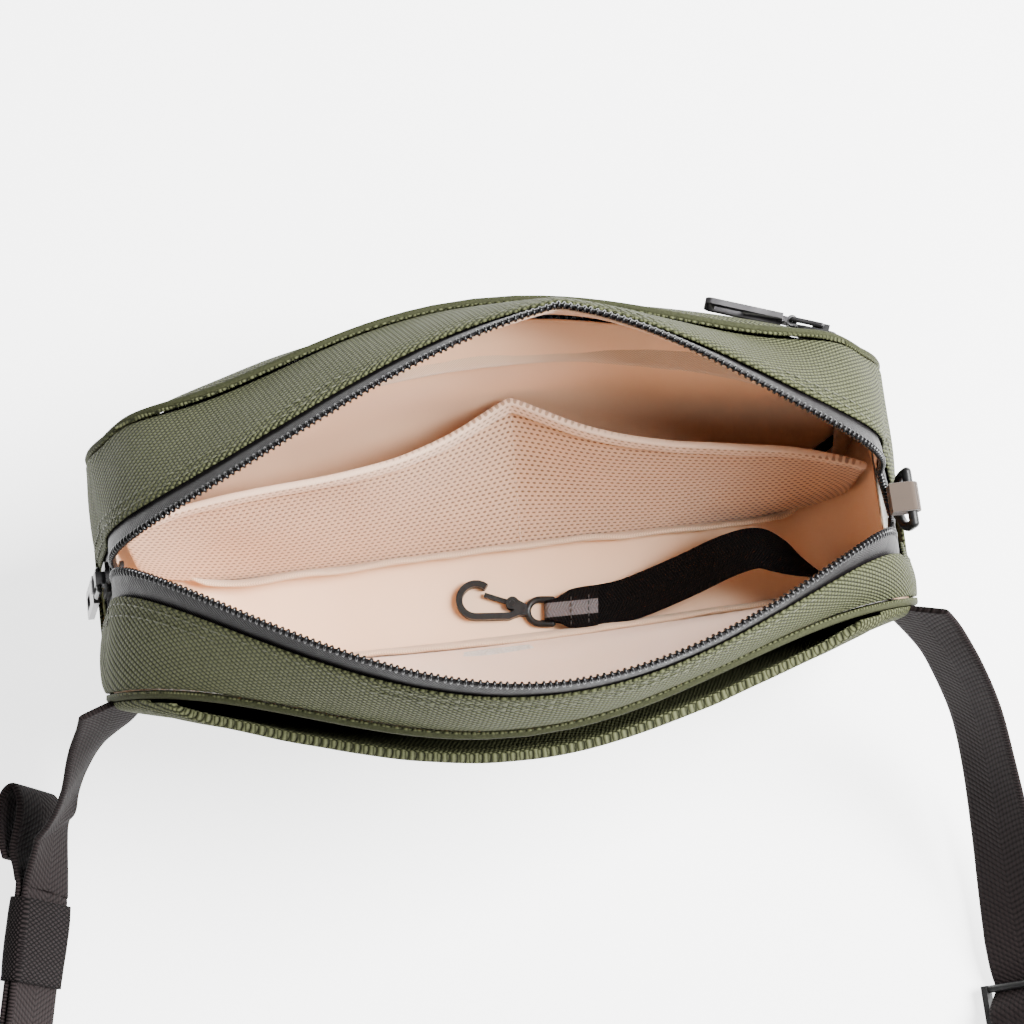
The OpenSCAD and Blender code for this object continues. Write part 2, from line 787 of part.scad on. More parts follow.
// A flat bar of constant width bent along a path
module bar_2d(path, w) {
  side = [for (i = [0:len(path) - 1])
    let (d = unit(path[min(i + 1, len(path) - 1)] - path[max(i - 1, 0)])) [-d[1], d[0]] * w / 2];
  polygon(concat([for (i = [0:len(path) - 1]) path[i] + side[i]],
    [for (i = [len(path) - 1:-1:0]) path[i] - side[i]]));
}

module key_hook() {
  color(black) on_hook() {
    difference() {
      linear_extrude(hook_t, center = true) {
        bar_2d(concat([[-5, 0.2], [-7.4, -0.6], [-10, -1.7]],
          [for (a = [270:-14.5:52]) bend_at + bend_r * [cos(a), sin(a)]]), hook_wire);
        bar_2d([[-5, 0.4], gate_pivot], 3.6);
        translate(gate_pivot) circle(r = 2.1);
      }
      translate([gate_pivot[0], gate_pivot[1], 0]) {
        cylinder(r = gate_pin + 0.05, h = 10, center = true);
        translate([-1.75, 1.1, 0]) cube([5.7, 9, gate_t + 0.4], center = true);
      }
    }
    rod([eye_r, -eye_r, 0], [eye_r, eye_r, 0], eye_wire);
    for (s = [-1, 1]) rod([0, s * eye_r, 0], [eye_r, s * eye_r, 0], eye_wire);
    for (s = [-1, 1]) translate([eye_r, s * eye_r, 0]) sphere(r = eye_wire);
    rotate([0, 0, 90]) rotate_extrude(angle = 180) translate([eye_r, 0]) circle(r = eye_wire);
    translate([-5.6, 0, 0]) cube([3, 3, 3], center = true);
  }
}

gate_end = [-18.2, 5.5];
gate_t = hook_t - 2;
module hook_gate() {
  color(black) on_hook() {
    translate([gate_pivot[0], gate_pivot[1], 0]) cylinder(r = gate_pin, h = hook_t, center = true);
    linear_extrude(gate_t, center = true) bar_2d([gate_pivot, gate_end], 1.5);
  }
}

// ---------- shoulder strap ----------

// Webbing whose width direction is given at each point
module ribbon(route, dirs) {
  skin([for (i = [0:len(route) - 1])
    let (
      t = tangent(route, i),
      w = dirs[i] * web_w / 2,
      n = unit(cross(t, w)) * web_t / 2
    )
    [route[i] + w + n, route[i] + w - n, route[i] - w - n, route[i] - w + n]]);
}

// A straight stretch of strap: s runs along it, across goes to its outer face
function run_point(at, dir, lean, s, across = 0) =
  at + dir * s + unit(cross(dir, width_dir(dir, lean))) * across;
// Moves its children to a stretch: X along it, Y across it, Z along the webbing's width
module on_run(at, dir, lean, s) {
  up = width_dir(dir, lean);
  across = unit(cross(dir, up));
  spot = at + dir * s;
  multmatrix([for (i = [0:2]) [dir[i], across[i], up[i], spot[i]]]) children();
}

buckle_w = web_w + 7;
buckle_t = 7;
bar_r = 1.6;
wrap_r = bar_r + 0.15 + web_t / 2;

// Left webbing: sewn to the bag, down to the table, round the buckle's bar and back
left_lean = 24;
left_run = [-0.2, -0.98, 0] / norm([0.2, 0.98]);
web_z = buckle_w / 2 * cos(left_lean) + buckle_t / 2 * sin(left_lean) + 0.2;
keeper_at = [-158.9, -98, web_z];
layer = web_t / 2 + 0.25;
left_stops = [[4.2 - half_w, -36.4, 78], [-124.5, -40, 64], [-134, -46.5, 47], [-143, -56, 33],
  [-150.5, -66, 23]];
left_leans = [14, 8, -8, -8, 10];
buckle_s = 62;
tail_loop = [[-16, 1.3], [-22, 3.2], [-28, 5.4], [-36, 4.6], [-43, 4.8], [-48, 8], [-45, 11.6],
  [-38, 12.4], [-31, 10.4], [-25, 7.6]];
function left_point(s, across = 0) = run_point(keeper_at, left_run, left_lean, s, across);
module strap_left() {
  fall = spline(left_stops, 3);
  leans = spline([for (a = left_leans) [a, 0, 0]], 3);
  route = concat(
    fall,
    [for (s = [-17, -14, 4, 28, buckle_s - 10]) left_point(s, -layer)],
    [for (a = [0:20:180]) left_point(buckle_s + wrap_r * sin(a), -wrap_r * cos(a))],
    [for (s = [buckle_s - 10, 28, 4]) left_point(s, layer)],
    spline([for (p = tail_loop) left_point(p[0], p[1])], 2)
  );
  color(charcoal) ribbon(route, [for (i = [0:len(route) - 1])
    i < len(fall) ? width_dir(tangent(route, i), leans[i][0]) : width_dir(left_run, left_lean)]);
}

module on_left_run(s) {
  on_run(keeper_at, left_run, left_lean, s) children();
}

module strap_keeper() {
  inner = [keeper_l + 1, 2 * layer + web_t + slide_gap, web_w + slide_gap];
  wall = 1.1;
  color(charcoal) on_left_run(0) difference() {
    cube([keeper_l, inner[1] + 2 * wall, inner[2] + 2 * wall], center = true);
    cube(inner, center = true);
  }
}

// Side-release buckle, closed
rail_z = web_w / 2 + 2.2;
rail_t = 2.4;
arm_pin = 0.9;
arm_z = 8.6;
arm_x = 14;
module strap_bar(x0, x1, bar_x) {
  translate([bar_x, 0, 0]) cylinder(r = bar_r, h = 2 * rail_z, center = true);
  for (s = [-1, 1]) translate([x0, -buckle_t / 2, s * rail_z - rail_t / 2])
    cube([x1 - x0, buckle_t, rail_t]);
}

module buckle_male() {
  hub = 4.4;
  color(black) on_left_run(buckle_s) {
    strap_bar(-2.5, 9.5, 0);
    translate([8.5, -buckle_t / 2, -rail_z - rail_t / 2]) cube([3, buckle_t, 2 * rail_z + rail_t]);
    translate([11, -1.6, -1.5]) cube([20, 3.2, 3]);
    for (s = [-1, 1]) difference() {
      translate([11, -hub / 2, s * arm_z - 1.8]) cube([5, hub, 3.6]);
      translate([arm_x, 0, s * arm_z]) rotate([90, 0, 0])
        cylinder(r = arm_pin + 0.05, h = 9, center = true);
      translate([12, -1.2, s * arm_z - 2]) cube([9, 2.4, 4]);
    }
  }
}

module buckle_arm(s) {
  color(black) on_left_run(buckle_s) {
    translate([arm_x, 0, s * arm_z]) rotate([90, 0, 0]) cylinder(r = arm_pin, h = 4.2, center = true);
    translate([arm_x, -0.9, s * arm_z - 1.1]) cube([13, 1.8, 2.2]);
    translate([22, -2.2, s * (arm_z + 4) - 3]) cube([5, 4.4, 6]);
  }
}
module buckle_arm_left() {
  buckle_arm(-1);
}
module buckle_arm_right() {
  buckle_arm(1);
}

socket_x = 12;
socket_l = 22;
female_bar = 41;
module buckle_female() {
  wall = 1;
  color(black) on_left_run(buckle_s) {
    difference() {
      translate([socket_x, -buckle_t / 2, -buckle_w / 2]) cube([socket_l, buckle_t, buckle_w]);
      translate([socket_x - 1, -buckle_t / 2 + wall, -buckle_w / 2 + 2 * wall])
        cube([socket_l - 1, buckle_t - 2 * wall, buckle_w - 4 * wall]);
      for (s = [-1, 1]) translate([socket_x + 5, -buckle_t / 2 + wall, s * buckle_w / 2 - 4])
        cube([11, buckle_t - 2 * wall, 8]);
    }
    strap_bar(socket_x + socket_l - 1, female_bar + 2.5, female_bar);
  }
}

// Right webbing: sewn to the bag, woven through the adjuster, round to the buckle's bar and
// back to the adjuster's middle bar
right_lean = -50;
right_run = [0, -1, 0];
adjuster_at = [148, -157, 13.2];
adjuster_bar = 1.2;
bar_pitch = 9;
right_stops = [[half_w - 4.2, -38, 82], [126.5, -44, 72], [133, -52.5, 62], [140, -66, 46],
  [144, -81.5, 33], [146.5, -101, 22], [147.5, -119, 16], [148, -134, 13.6]];
right_leans = [-12, -14, -16, -20, -27, -36, -44, right_lean];
over = adjuster_bar + 0.1 + web_t;
round_stops = [[147, -186, web_w / 2 + 0.4], [141, -212, web_w / 2 + 0.2],
  [122, -247, web_w / 2 + 0.2], [88, -275, web_w / 2 + 0.2], [44, -292, web_w / 2 + 0.2],
  [-4, -299, web_w / 2 + 0.2], [-52, -298, web_w / 2 + 0.2], [-100, -288, web_w / 2 + 0.2],
  [-140, -268, web_w / 2 + 0.2], [-166, -242, web_w / 2 + 1], [-177, -216, web_z - 0.6]];
round_leans = [-30, -12, 0, 0, 0, 0, 0, 0, -4, -14, -left_lean];
function right_point(s, across) = run_point(adjuster_at, right_run, right_lean, s, across);
module strap_right() {
  fall = spline(right_stops, 3);
  fall_leans = spline([for (a = right_leans) [a, 0, 0]], 3);
  side_turn = spline(round_stops, 2);
  turn_leans = spline([for (a = round_leans) [a, 0, 0]], 2);
  turn_dirs = [for (i = [0:len(side_turn) - 1]) width_dir(tangent(side_turn, i), turn_leans[i][0])];
  turn_out = [for (i = [0:len(side_turn) - 1]) unit(cross(tangent(side_turn, i), turn_dirs[i]))];
  weave = [[-15, -0.8], [-bar_pitch, -adjuster_bar - web_t / 2 - 0.2], [-5.2, 0.8],
    [-2.4, over + 0.3], [0, over + web_t / 2 + 0.1], [2.4, over + 0.3], [5.2, 0.8],
    [bar_pitch, -adjuster_bar - web_t / 2 - 0.2], [15, -0.4]];
  wrap_s = buckle_s + female_bar;
  round = adjuster_bar + 0.15 + web_t / 2;
  returned = [[15, -3.6], [bar_pitch, -adjuster_bar - 1.5 * web_t - 0.5], [4.5, -3.4]];
  last = len(side_turn) - 1;
  route = concat(
    fall,
    [for (p = weave) right_point(p[0], p[1])],
    [for (i = [0:last]) side_turn[i] + turn_out[i] * layer],
    [for (a = [0:20:180]) left_point(wrap_s - wrap_r * sin(a), -wrap_r * cos(a))],
    [for (i = [last:-1:0]) side_turn[i] - turn_out[i] * layer],
    [for (p = returned) right_point(p[0], p[1])],
    [for (a = [-80:-25:-230]) right_point(round * cos(a), round * sin(a))]
  );
  n1 = len(fall);
  n2 = n1 + len(weave);
  n3 = n2 + last + 1;
  n4 = n3 + 10;
  n5 = n4 + last + 1;
  at_adjuster = width_dir(right_run, right_lean);
  dirs = [for (i = [0:len(route) - 1])
    i < n1 ? width_dir(tangent(route, i), fall_leans[i][0]) :
    i < n2 ? at_adjuster :
    i < n3 ? turn_dirs[i - n2] :
    i < n4 ? width_dir(left_run, left_lean) :
    i < n5 ? turn_dirs[last - (i - n4)] : at_adjuster];
  color(charcoal) ribbon(route, dirs);
}

module strap_adjuster() {
  color(black) on_run(adjuster_at, right_run, right_lean, 0) {
    for (x = [-1, 0, 1]) translate([x * bar_pitch, 0, 0])
      cylinder(r = adjuster_bar, h = 2 * rail_z - 1, center = true);
    for (s = [-1, 1]) translate([-bar_pitch - adjuster_bar, -1.6, s * (rail_z - 0.2) - 1])
      cube([2 * (bar_pitch + adjuster_bar), 3.2, 2]);
  }
}

bottom_gusset();
base_foam();
lining_base();
back_panel();
back_foam();
lining_back();
slip_pocket();
slip_pocket_hem();
front_panel_lower();
front_panel_upper();
front_pocket_lining();
lining_front();
front_zip_tape();
front_zip_teeth();
front_slider();
front_bail();
front_pull();
top_gusset_front();
top_gusset_back();
top_lining_front();
top_lining_back();
main_zip_tape_front();
main_zip_tape_back();
main_zip_teeth_front();
main_zip_teeth_back();
main_slider();
main_bail();
main_pull();
binding_front();
binding_back();
mesh_pocket();
mesh_pocket_trim();
d_ring_tab();
d_ring();
key_leash();
key_hook();
hook_gate();
strap_left();
strap_right();
strap_keeper();
strap_adjuster();
buckle_male();
buckle_female();
buckle_arm_left();
buckle_arm_right();
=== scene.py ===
import math

import bmesh
import bpy
import numpy as np
from mathutils import Matrix, Vector, noise


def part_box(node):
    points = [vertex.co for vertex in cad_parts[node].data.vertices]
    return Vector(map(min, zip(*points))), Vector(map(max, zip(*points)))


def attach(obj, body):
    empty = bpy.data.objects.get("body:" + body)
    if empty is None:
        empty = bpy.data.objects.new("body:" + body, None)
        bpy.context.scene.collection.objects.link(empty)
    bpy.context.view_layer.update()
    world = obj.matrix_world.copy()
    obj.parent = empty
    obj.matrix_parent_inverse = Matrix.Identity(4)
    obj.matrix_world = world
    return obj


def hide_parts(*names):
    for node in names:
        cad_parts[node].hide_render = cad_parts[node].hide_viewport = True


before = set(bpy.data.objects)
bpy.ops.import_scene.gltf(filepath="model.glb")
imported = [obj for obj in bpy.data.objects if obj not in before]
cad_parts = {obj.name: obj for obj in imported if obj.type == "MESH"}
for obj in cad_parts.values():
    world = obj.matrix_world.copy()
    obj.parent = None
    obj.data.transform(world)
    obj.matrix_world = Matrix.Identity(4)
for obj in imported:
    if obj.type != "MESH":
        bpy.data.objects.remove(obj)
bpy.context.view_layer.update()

# ---------------------------------------------------------------------------
# Back panel: ballistic nylon cut to the bag's outline, with foam behind it.
# It is sewn to the floor and sides all round and to the top half along its crown.
# Lengths in this file are millimetres until a mesh is made.

outer_low, outer_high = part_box("back_panel")
half_w = outer_high[0] * 1000
bag_h = outer_high[2] * 1000
shoulder_z, corner_r = 60, 40
floor_front, floor_back = 25, 22
zip_z, zip_r = 88, 300


def power(v, p):
    return math.copysign(abs(v) ** p, v)


def top_of(x, inset=0):
    """Height of a panel's upper edge at x."""
    share = min(1, abs(x) / (half_w - inset))
    return shoulder_z + (bag_h - shoulder_z - inset) * (1 - share**2.8) ** (1 / 2.8)


def foot_of(x, inset=0):
    """Height of a panel's lower edge at x."""
    reach = max(0, abs(x) - (half_w - corner_r))
    return corner_r - math.sqrt(max(0, (corner_r - inset) ** 2 - reach**2))


def front_y(x, z):
    swell = 39.8 * math.sin(math.radians(90 * min(z, 113) / (zip_z + 7))) ** 0.9
    round_plan = min(1, z / zip_z) * (zip_r - math.sqrt(zip_r**2 - x * x))
    roll = 14 * (max(0, z - zip_z - 5) / 20) ** 2 * (x / 80) ** 2
    return floor_front + swell - round_plan - roll


def back_y(x, z):
    middle = math.cos(math.radians(90 * min(1, abs(x) / half_w))) ** 2
    return -floor_back - z * (0.17 + 0.225 * middle)


def face_y(side, x, z):
    return front_y(x, z) if side > 0 else back_y(x, z)


def ripple(p, size, seed=0):
    """Soft, even noise between -1 and 1, with hills about size across."""
    return noise.noise(Vector(p) / size + Vector((seed * 7.3, seed * 3.1, seed)))


def made(name, bm, finish, body, *nodes, smooth=True):
    """Turns a bmesh in millimetres into a finished piece that rides on a body."""
    name += "_finished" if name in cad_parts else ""
    bmesh.ops.scale(bm, vec=(0.001,) * 3, verts=bm.verts)
    mesh = bpy.data.meshes.new(name)
    bm.to_mesh(mesh)
    bm.free()
    for face in mesh.polygons:
        face.use_smooth = smooth
    piece = bpy.data.objects.new(name, mesh)
    bpy.context.scene.collection.objects.link(piece)
    piece.data.materials.append(finish.material)
    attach(piece, body)
    if nodes:
        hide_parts(*nodes)
    return piece


def cloth(name, columns, rows, place, thickness, finish, nodes=(), body="bag",
          inward=False, sink=1, centred=False, puffs=0, puff_size=30, seed=0, round_edge=1,
          even=True):
    """A piece of cloth: a grid laid on place(u, v), with its threads measured along it."""
    bm = bmesh.new()
    bmesh.ops.create_grid(bm, x_segments=columns, y_segments=rows, size=0.5)
    bm.verts.ensure_lookup_table()
    index = [(round((v.co.x + 0.5) * columns), round((v.co.y + 0.5) * rows)) for v in bm.verts]
    spot = np.zeros((columns + 1, rows + 1, 3))
    for i in range(columns + 1):
        for j in range(rows + 1):
            spot[i, j] = place(i / columns, j / rows)
    across = np.gradient(spot, axis=0)
    upward = np.gradient(spot, axis=1)
    normal = np.cross(across, upward)
    normal /= np.maximum(np.linalg.norm(normal, axis=2, keepdims=True), 1e-9)
    outward = np.sum(normal * (spot - np.array([0, 0, 55.0]))) > 0
    turned = outward == inward
    if turned:
        normal = -normal
    if puffs:
        for i in range(columns + 1):
            for j in range(rows + 1):
                edge = min(1, min(j, rows - j) / max(1, rows * 0.12))
                hill = ripple(spot[i, j], puff_size, seed)
                lift = puffs * edge * (0.5 + 0.5 * hill if inward else hill)
                spot[i, j] += normal[i, j] * lift
    along = np.concatenate([np.zeros((1, rows + 1)),
                            np.cumsum(np.linalg.norm(np.diff(spot, axis=0), axis=2), axis=0)])
    along -= along[columns // 2]
    up = np.concatenate([np.zeros((columns + 1, 1)),
                         np.cumsum(np.linalg.norm(np.diff(spot, axis=1), axis=2), axis=1)], axis=1)
    if centred:
        up -= up[:, -1:] / 2
    for vert, (i, j) in zip(bm.verts, index):
        vert.co = spot[i, j]
    threads = bm.loops.layers.uv.new("threads")
    place_of = dict(zip(bm.verts, index))
    for face in bm.faces:
        for loop in face.loops:
            i, j = place_of[loop.vert]
            loop[threads].uv = (along[i, j], up[i, j])
    bm.normal_update()
    bm.faces.ensure_lookup_table()
    middle = bm.faces[len(bm.faces) // 2]
    i, j = place_of[middle.verts[0]]
    if middle.normal.dot(Vector(normal[i, j])) < 0:
        bmesh.ops.reverse_faces(bm, faces=bm.faces)
    piece = made(name, bm, finish, body, *nodes)
    wall = piece.modifiers.new("thickness", "SOLIDIFY")
    wall.thickness = thickness / 1000
    wall.offset = -sink
    wall.use_even_offset = even
    if round_edge:
        soft = piece.modifiers.new("round", "SUBSURF")
        soft.levels = soft.render_levels = round_edge
    return piece


class Value:
    """A shader socket that Python arithmetic works on."""

    def __init__(self, finish, socket):
        self.finish, self.socket = finish, socket

    def math(self, operation, *others):
        return self.finish.add("ShaderNodeMath", {"operation": operation}, [self, *others])

    def __add__(self, other):
        return self.math("ADD", other)

    def __sub__(self, other):
        return self.math("SUBTRACT", other)

    def __rsub__(self, other):
        return self.finish.add("ShaderNodeMath", {"operation": "SUBTRACT"}, [other, self])

    def __mul__(self, other):
        return self.math("MULTIPLY", other)

    def __truediv__(self, other):
        return self.math("DIVIDE", other)

    def __pow__(self, other):
        return self.math("POWER", other)

    __radd__, __rmul__ = __add__, __mul__

    def crown(self):
        """From a count of threads: 1 on the middle of each thread and 0 between two."""
        offset = self.math("FRACT") * 2 - 1
        return 1 - offset * offset


class Finish:
    """One procedural finish: constants on the shader, patterns on its colour and bump."""

    def __init__(self, name, slot, **constants):
        self.slot = slot
        self.material = bpy.data.materials.new(name)
        self.material.use_nodes = True
        self.tree = self.material.node_tree
        self.shader = self.tree.nodes["Principled BSDF"]
        for socket, value in constants.items():
            self.shader.inputs[socket.replace("_", " ")].default_value = value

    def add(self, kind, settings=None, inputs=(), output=0):
        node = self.tree.nodes.new(kind)
        for name, value in (settings or {}).items():
            setattr(node, name, value)
        for key, value in (inputs.items() if isinstance(inputs, dict) else enumerate(inputs)):
            if isinstance(value, Value):
                self.tree.links.new(value.socket, node.inputs[key])
            else:
                node.inputs[key].default_value = value
        return Value(self, node.outputs[output])

    def drive(self, **sockets):
        for socket, value in sockets.items():
            self.tree.links.new(value.socket, self.shader.inputs[socket.replace("_", " ")])

    def threads(self):
        """Millimetres along and across the cloth's own threads."""
        uv = self.add("ShaderNodeUVMap", {"uv_map": "threads"})
        return (self.add("ShaderNodeSeparateXYZ", {}, [uv], 0),
                self.add("ShaderNodeSeparateXYZ", {}, [uv], 1))

    def place(self):
        return self.add("ShaderNodeTexCoord", {}, (), 3)

    def cloud(self, scale, detail=3.0, source=None):
        return self.add("ShaderNodeTexNoise", {"noise_dimensions": "3D"},
                        {"Vector": source or self.place(), "Scale": scale, "Detail": detail})

    def mix(self, share, low, high):
        low, high = ((*c, 1.0) if isinstance(c, tuple) else c for c in (low, high))
        return self.add("ShaderNodeMix", {"data_type": "RGBA"}, {0: share, 6: low, 7: high}, 2)

    def bump(self, height, distance, strength=1.0):
        self.drive(Normal=self.add("ShaderNodeBump", {}, {
            "Height": height, "Distance": distance / 1000, "Strength": strength}))


def nylon(name, dark, light, slot="green_cloth"):
    """Ballistic nylon: slanting ribs of plump double threads."""
    finish = Finish(name, slot, Roughness=0.7, Specular_IOR_Level=0.1)
    x, y = finish.threads()
    slant = x * 0.80 + y * 0.60
    rib = (y * 0.80 - x * 0.60) / 1.5
    row = rib.math("FLOOR")
    knot = (slant / 1.45 + row * 0.5).crown()
    height = rib.crown() * (knot * 0.65 + 0.35)
    shade = finish.cloud(22.0) * 0.3 + finish.cloud(900.0, 2.0) * 0.3
    finish.drive(Base_Color=finish.mix(height * 1.1 + shade - 0.25, dark, light))
    finish.bump(height, 0.55)
    return finish


green = nylon("green_nylon", (0.004, 0.005, 0.002), (0.082, 0.088, 0.042))


def panel_place(side, inset=0.0, depth=0.0, low=None, high=None, dish=0.0):
    """Place on a face panel: u runs across it, v from its lower to its upper edge."""
    def place(u, v):
        x = (half_w - inset - 0.05) * math.sin(math.pi * (u - 0.5))
        z0 = max(foot_of(x, inset), low(x) if low else -1)
        z1 = min(top_of(x, inset), high(x) if high else 999)
        z = z0 + (max(z1, z0 + 0.01) - z0) * v
        rim = (abs(x) / (half_w - inset)) ** 2.8 + (abs(z - shoulder_z) / (
            bag_h - shoulder_z if z > shoulder_z else shoulder_z)) ** 2.8
        r = min(1, rim ** (1 / 2.8))
        return (x, face_y(side, x, z) - side * (depth + dish * (1 - r**8)), z)
    return place


cloth("back_panel", 96, 40, panel_place(-1), 1.2, green, ["back_panel"], puffs=0.5)

# ---------------------------------------------------------------------------
# Slip pocket: one more layer of the nylon over the back, open along its top.
# Its mouth ends in a wide hem, folded over twice and stitched below the fold.

slip_h = 99


def slip_half(z):
    if z < shoulder_z:
        low = corner_r - z
        return half_w - corner_r + math.sqrt(corner_r**2 - low**2) - 1 if z < corner_r else half_w - 1
    share = (z - shoulder_z) / (bag_h - shoulder_z)
    return half_w * (1 - share**2.8) ** (1 / 2.8) - 1


def slip_place(low, high, proud=0.0):
    def place(u, v):
        level = low + (high - low) * v
        z = 2 + (slip_h - 2) * level
        across = 2 * u - 1
        x = slip_half(z) * math.sin(across * math.pi / 2)
        stand = 1.3 + 9 * level**0.7 * (1 - abs(across) ** 3) + proud
        return (x, back_y(x, z) - stand, z)
    return place


slip = cloth("slip_pocket", 96, 36, slip_place(0.0, 0.955), 1.2, green,
             ["slip_pocket"], puffs=0.9, puff_size=42, seed=3)
hem = nylon("hem_nylon", (0.005, 0.006, 0.0025), (0.088, 0.094, 0.046))
slip_hem = cloth("slip_pocket_hem", 128, 6, slip_place(0.94, 1.0, 0.9), 3.2, hem,
                 ["slip_pocket_hem"], puffs=0.35, puff_size=14, seed=5)

# ---------------------------------------------------------------------------
# Front panel: two pieces of the same nylon, one below and one above the pocket's
# zip. Past the zip's ends the two are sewn edge to edge.

zip_left, zip_right, slot = 96, 107, 5.3


def lower_edge(x):
    """The lower piece's top edge: under the zip, then up round the zip's two ends."""
    over = max(0, -zip_left - x, x - zip_right) / 3
    return zip_z - slot + (2 * slot - 0.15) * min(1, over) ** 2


cloth("front_panel_lower", 150, 32, panel_place(1, high=lower_edge), 1.2,
      green, ["front_panel_lower"], puffs=1.3, puff_size=38, seed=8)


def upper_place(u, v):
    x = 110.4 * math.sin(math.pi * (u - 0.5))
    z0 = zip_z + slot
    z = z0 + (max(top_of(x), z0 + 0.05) - z0) * v
    return (x, front_y(x, z), z)


cloth("front_panel_upper", 120, 12, upper_place, 1.2, green,
      ["front_panel_upper"], puffs=0.5, puff_size=25, seed=9)

# ---------------------------------------------------------------------------
# Floor and sides: one long strip of nylon that runs from shoulder to shoulder
# under the bag, sewn to both face panels.


def round_path(s, inset=0.0):
    """A point of the lower outline and its outward direction, s from 0 to 1."""
    side, bend, floor = 20.0, (corner_r - inset) * math.pi / 2, 2 * (half_w - corner_r)
    at = s * (2 * side + 2 * bend + floor)
    hand = 1 if at > side + bend + floor / 2 else -1
    if hand > 0:
        at = 2 * side + 2 * bend + floor - at
    if at < side:
        return hand * (half_w - inset), shoulder_z - at, hand, 0
    if at < side + bend:
        a = (at - side) / bend * math.pi / 2
        return (hand * (half_w - corner_r + (corner_r - inset) * math.cos(a)),
                corner_r - (corner_r - inset) * math.sin(a), hand * math.cos(a), -math.sin(a))
    return hand * (half_w - corner_r - (at - side - bend)), inset, 0, -1


def shell_place(inset, bulge=0.0):
    def place(u, v):
        x, z, out_x, out_z = round_path(u, inset)
        low, high = back_y(x, z) + 1.3, front_y(x, z) - 1.3
        swell = bulge * math.sin(math.pi * v) * min(1, z / 40)
        return (x + out_x * swell, low + (high - low) * v, z)
    return place


cloth("bottom_gusset", 168, 24, shell_place(0, 0.8), 1.2, green,
      ["bottom_gusset"], puffs=0.35, puff_size=30, seed=11)

# ---------------------------------------------------------------------------
# Corded edges: where each face panel meets the strip round its sides, the turned
# seam stands out as a slim roll of the same nylon.


def tube(bm, path, radius, sides=10, closed=False, flat=1.0):
    """Sweeps a round section along points: one spun ring bridged to the next."""
    rings = []
    count = len(path)
    side_way = None
    for i, p in enumerate(path):
        ahead = Vector(path[(i + 1) % count if closed else min(i + 1, count - 1)])
        behind = Vector(path[(i - 1) % count if closed else max(i - 1, 0)])
        t = (ahead - behind).normalized()
        if side_way is None:
            side_way = t.orthogonal().normalized()
        side_way = (side_way - t * side_way.dot(t)).normalized()
        r = radius[i] if isinstance(radius, (list, tuple)) else radius
        ring = bmesh.ops.create_circle(bm, segments=sides, radius=r)["verts"]
        frame_of = Matrix((side_way, t.cross(side_way) * flat, t)).transposed().to_4x4()
        frame_of.translation = Vector(p)
        bmesh.ops.transform(bm, matrix=frame_of, verts=ring)
        rings.append(ring)
    edges = [[e for e in {e for v in ring for e in v.link_edges}] for ring in rings]
    pairs = list(zip(edges, edges[1:])) + ([(edges[-1], edges[0])] if closed else [])
    faces = []
    for a, b in pairs:
        faces += bmesh.ops.bridge_loops(bm, edges=a + b)["faces"]
    if not closed:
        for ring in (rings[0], rings[-1]):
            faces.append(bmesh.ops.contextual_create(bm, geom=ring)["faces"][0])
    bmesh.ops.recalc_face_normals(bm, faces=faces)
    return faces


def outline(side, inset, stand=0.0, depth=0.0):
    """Points round a whole face panel, inset from its edge."""
    rim = []
    for i in range(81):
        a = math.radians(-90 + 180 * i / 80)
        rim.append(((half_w - inset) * power(math.sin(a), 2 / 2.8),
                    shoulder_z + (bag_h - shoulder_z - inset) * math.cos(a) ** (2 / 2.8)
                    if i not in (0, 80) else shoulder_z))
    for s in range(1, 120):
        x, z = round_path(1 - s / 120, inset)[:2]
        rim.append((x, z))
    return [(x, face_y(side, x, z) + side * (stand - depth), z) for x, z in rim]


roll = Finish("rolled_nylon", "green_cloth", Roughness=0.75, Specular_IOR_Level=0.1)
grain = roll.cloud(1400.0, 2.0)
roll.drive(Base_Color=roll.mix(grain, (0.012, 0.013, 0.006), (0.048, 0.052, 0.025)))
roll.bump(grain, 0.15)
for name, side in (("front_seam_roll", 1), ("back_seam_roll", -1)):
    bm = bmesh.new()
    tube(bm, outline(side, 1.1, 0.0), 1.15, 8, closed=True)
    made(name, bm, roll, "bag")

# ---------------------------------------------------------------------------
# Foam and divider: soft sheets that lie hidden between the nylon and the lining.
# The foam in the back and floor keeps the bag standing.

foam = Finish("open_foam", "foam", Roughness=0.95)
cells = foam.add("ShaderNodeTexVoronoi", {}, {"Vector": foam.place(), "Scale": 900.0})
foam.drive(Base_Color=foam.mix(cells, (0.55, 0.55, 0.52), (0.78, 0.78, 0.75)))
foam.bump(cells, 0.4)
divider = nylon("divider_cloth", (0.03, 0.034, 0.02), (0.08, 0.09, 0.055), "divider_cloth")
for name in ("base_foam", "back_foam"):
    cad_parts[name].data.materials[0] = foam.material
cloth("front_pocket_lining", 80, 36, panel_place(1, 5.6, 4.2, dish=11), 0.8, divider,
      ["front_pocket_lining"], round_edge=0)

# ---------------------------------------------------------------------------
# Lining: thin satin, a little loose, so that it lies in soft folds. It is cut like
# the outer cloth and its seam allowances are bound inside.

satin = Finish("peach_satin", "peach_lining", Roughness=0.52, Sheen_Weight=0.35,
               Sheen_Roughness=0.35, Specular_IOR_Level=0.35)
x, y = satin.threads()
ground = satin.cloud(16.0, 4.0)
fine = (x / 0.32).crown() * 0.5 + (y / 0.32).crown() * 0.5
satin.drive(Base_Color=satin.mix(ground, (0.70, 0.44, 0.275), (0.87, 0.59, 0.39)),
            Roughness=ground * 0.2 + 0.4)
satin.bump(fine, 0.04)

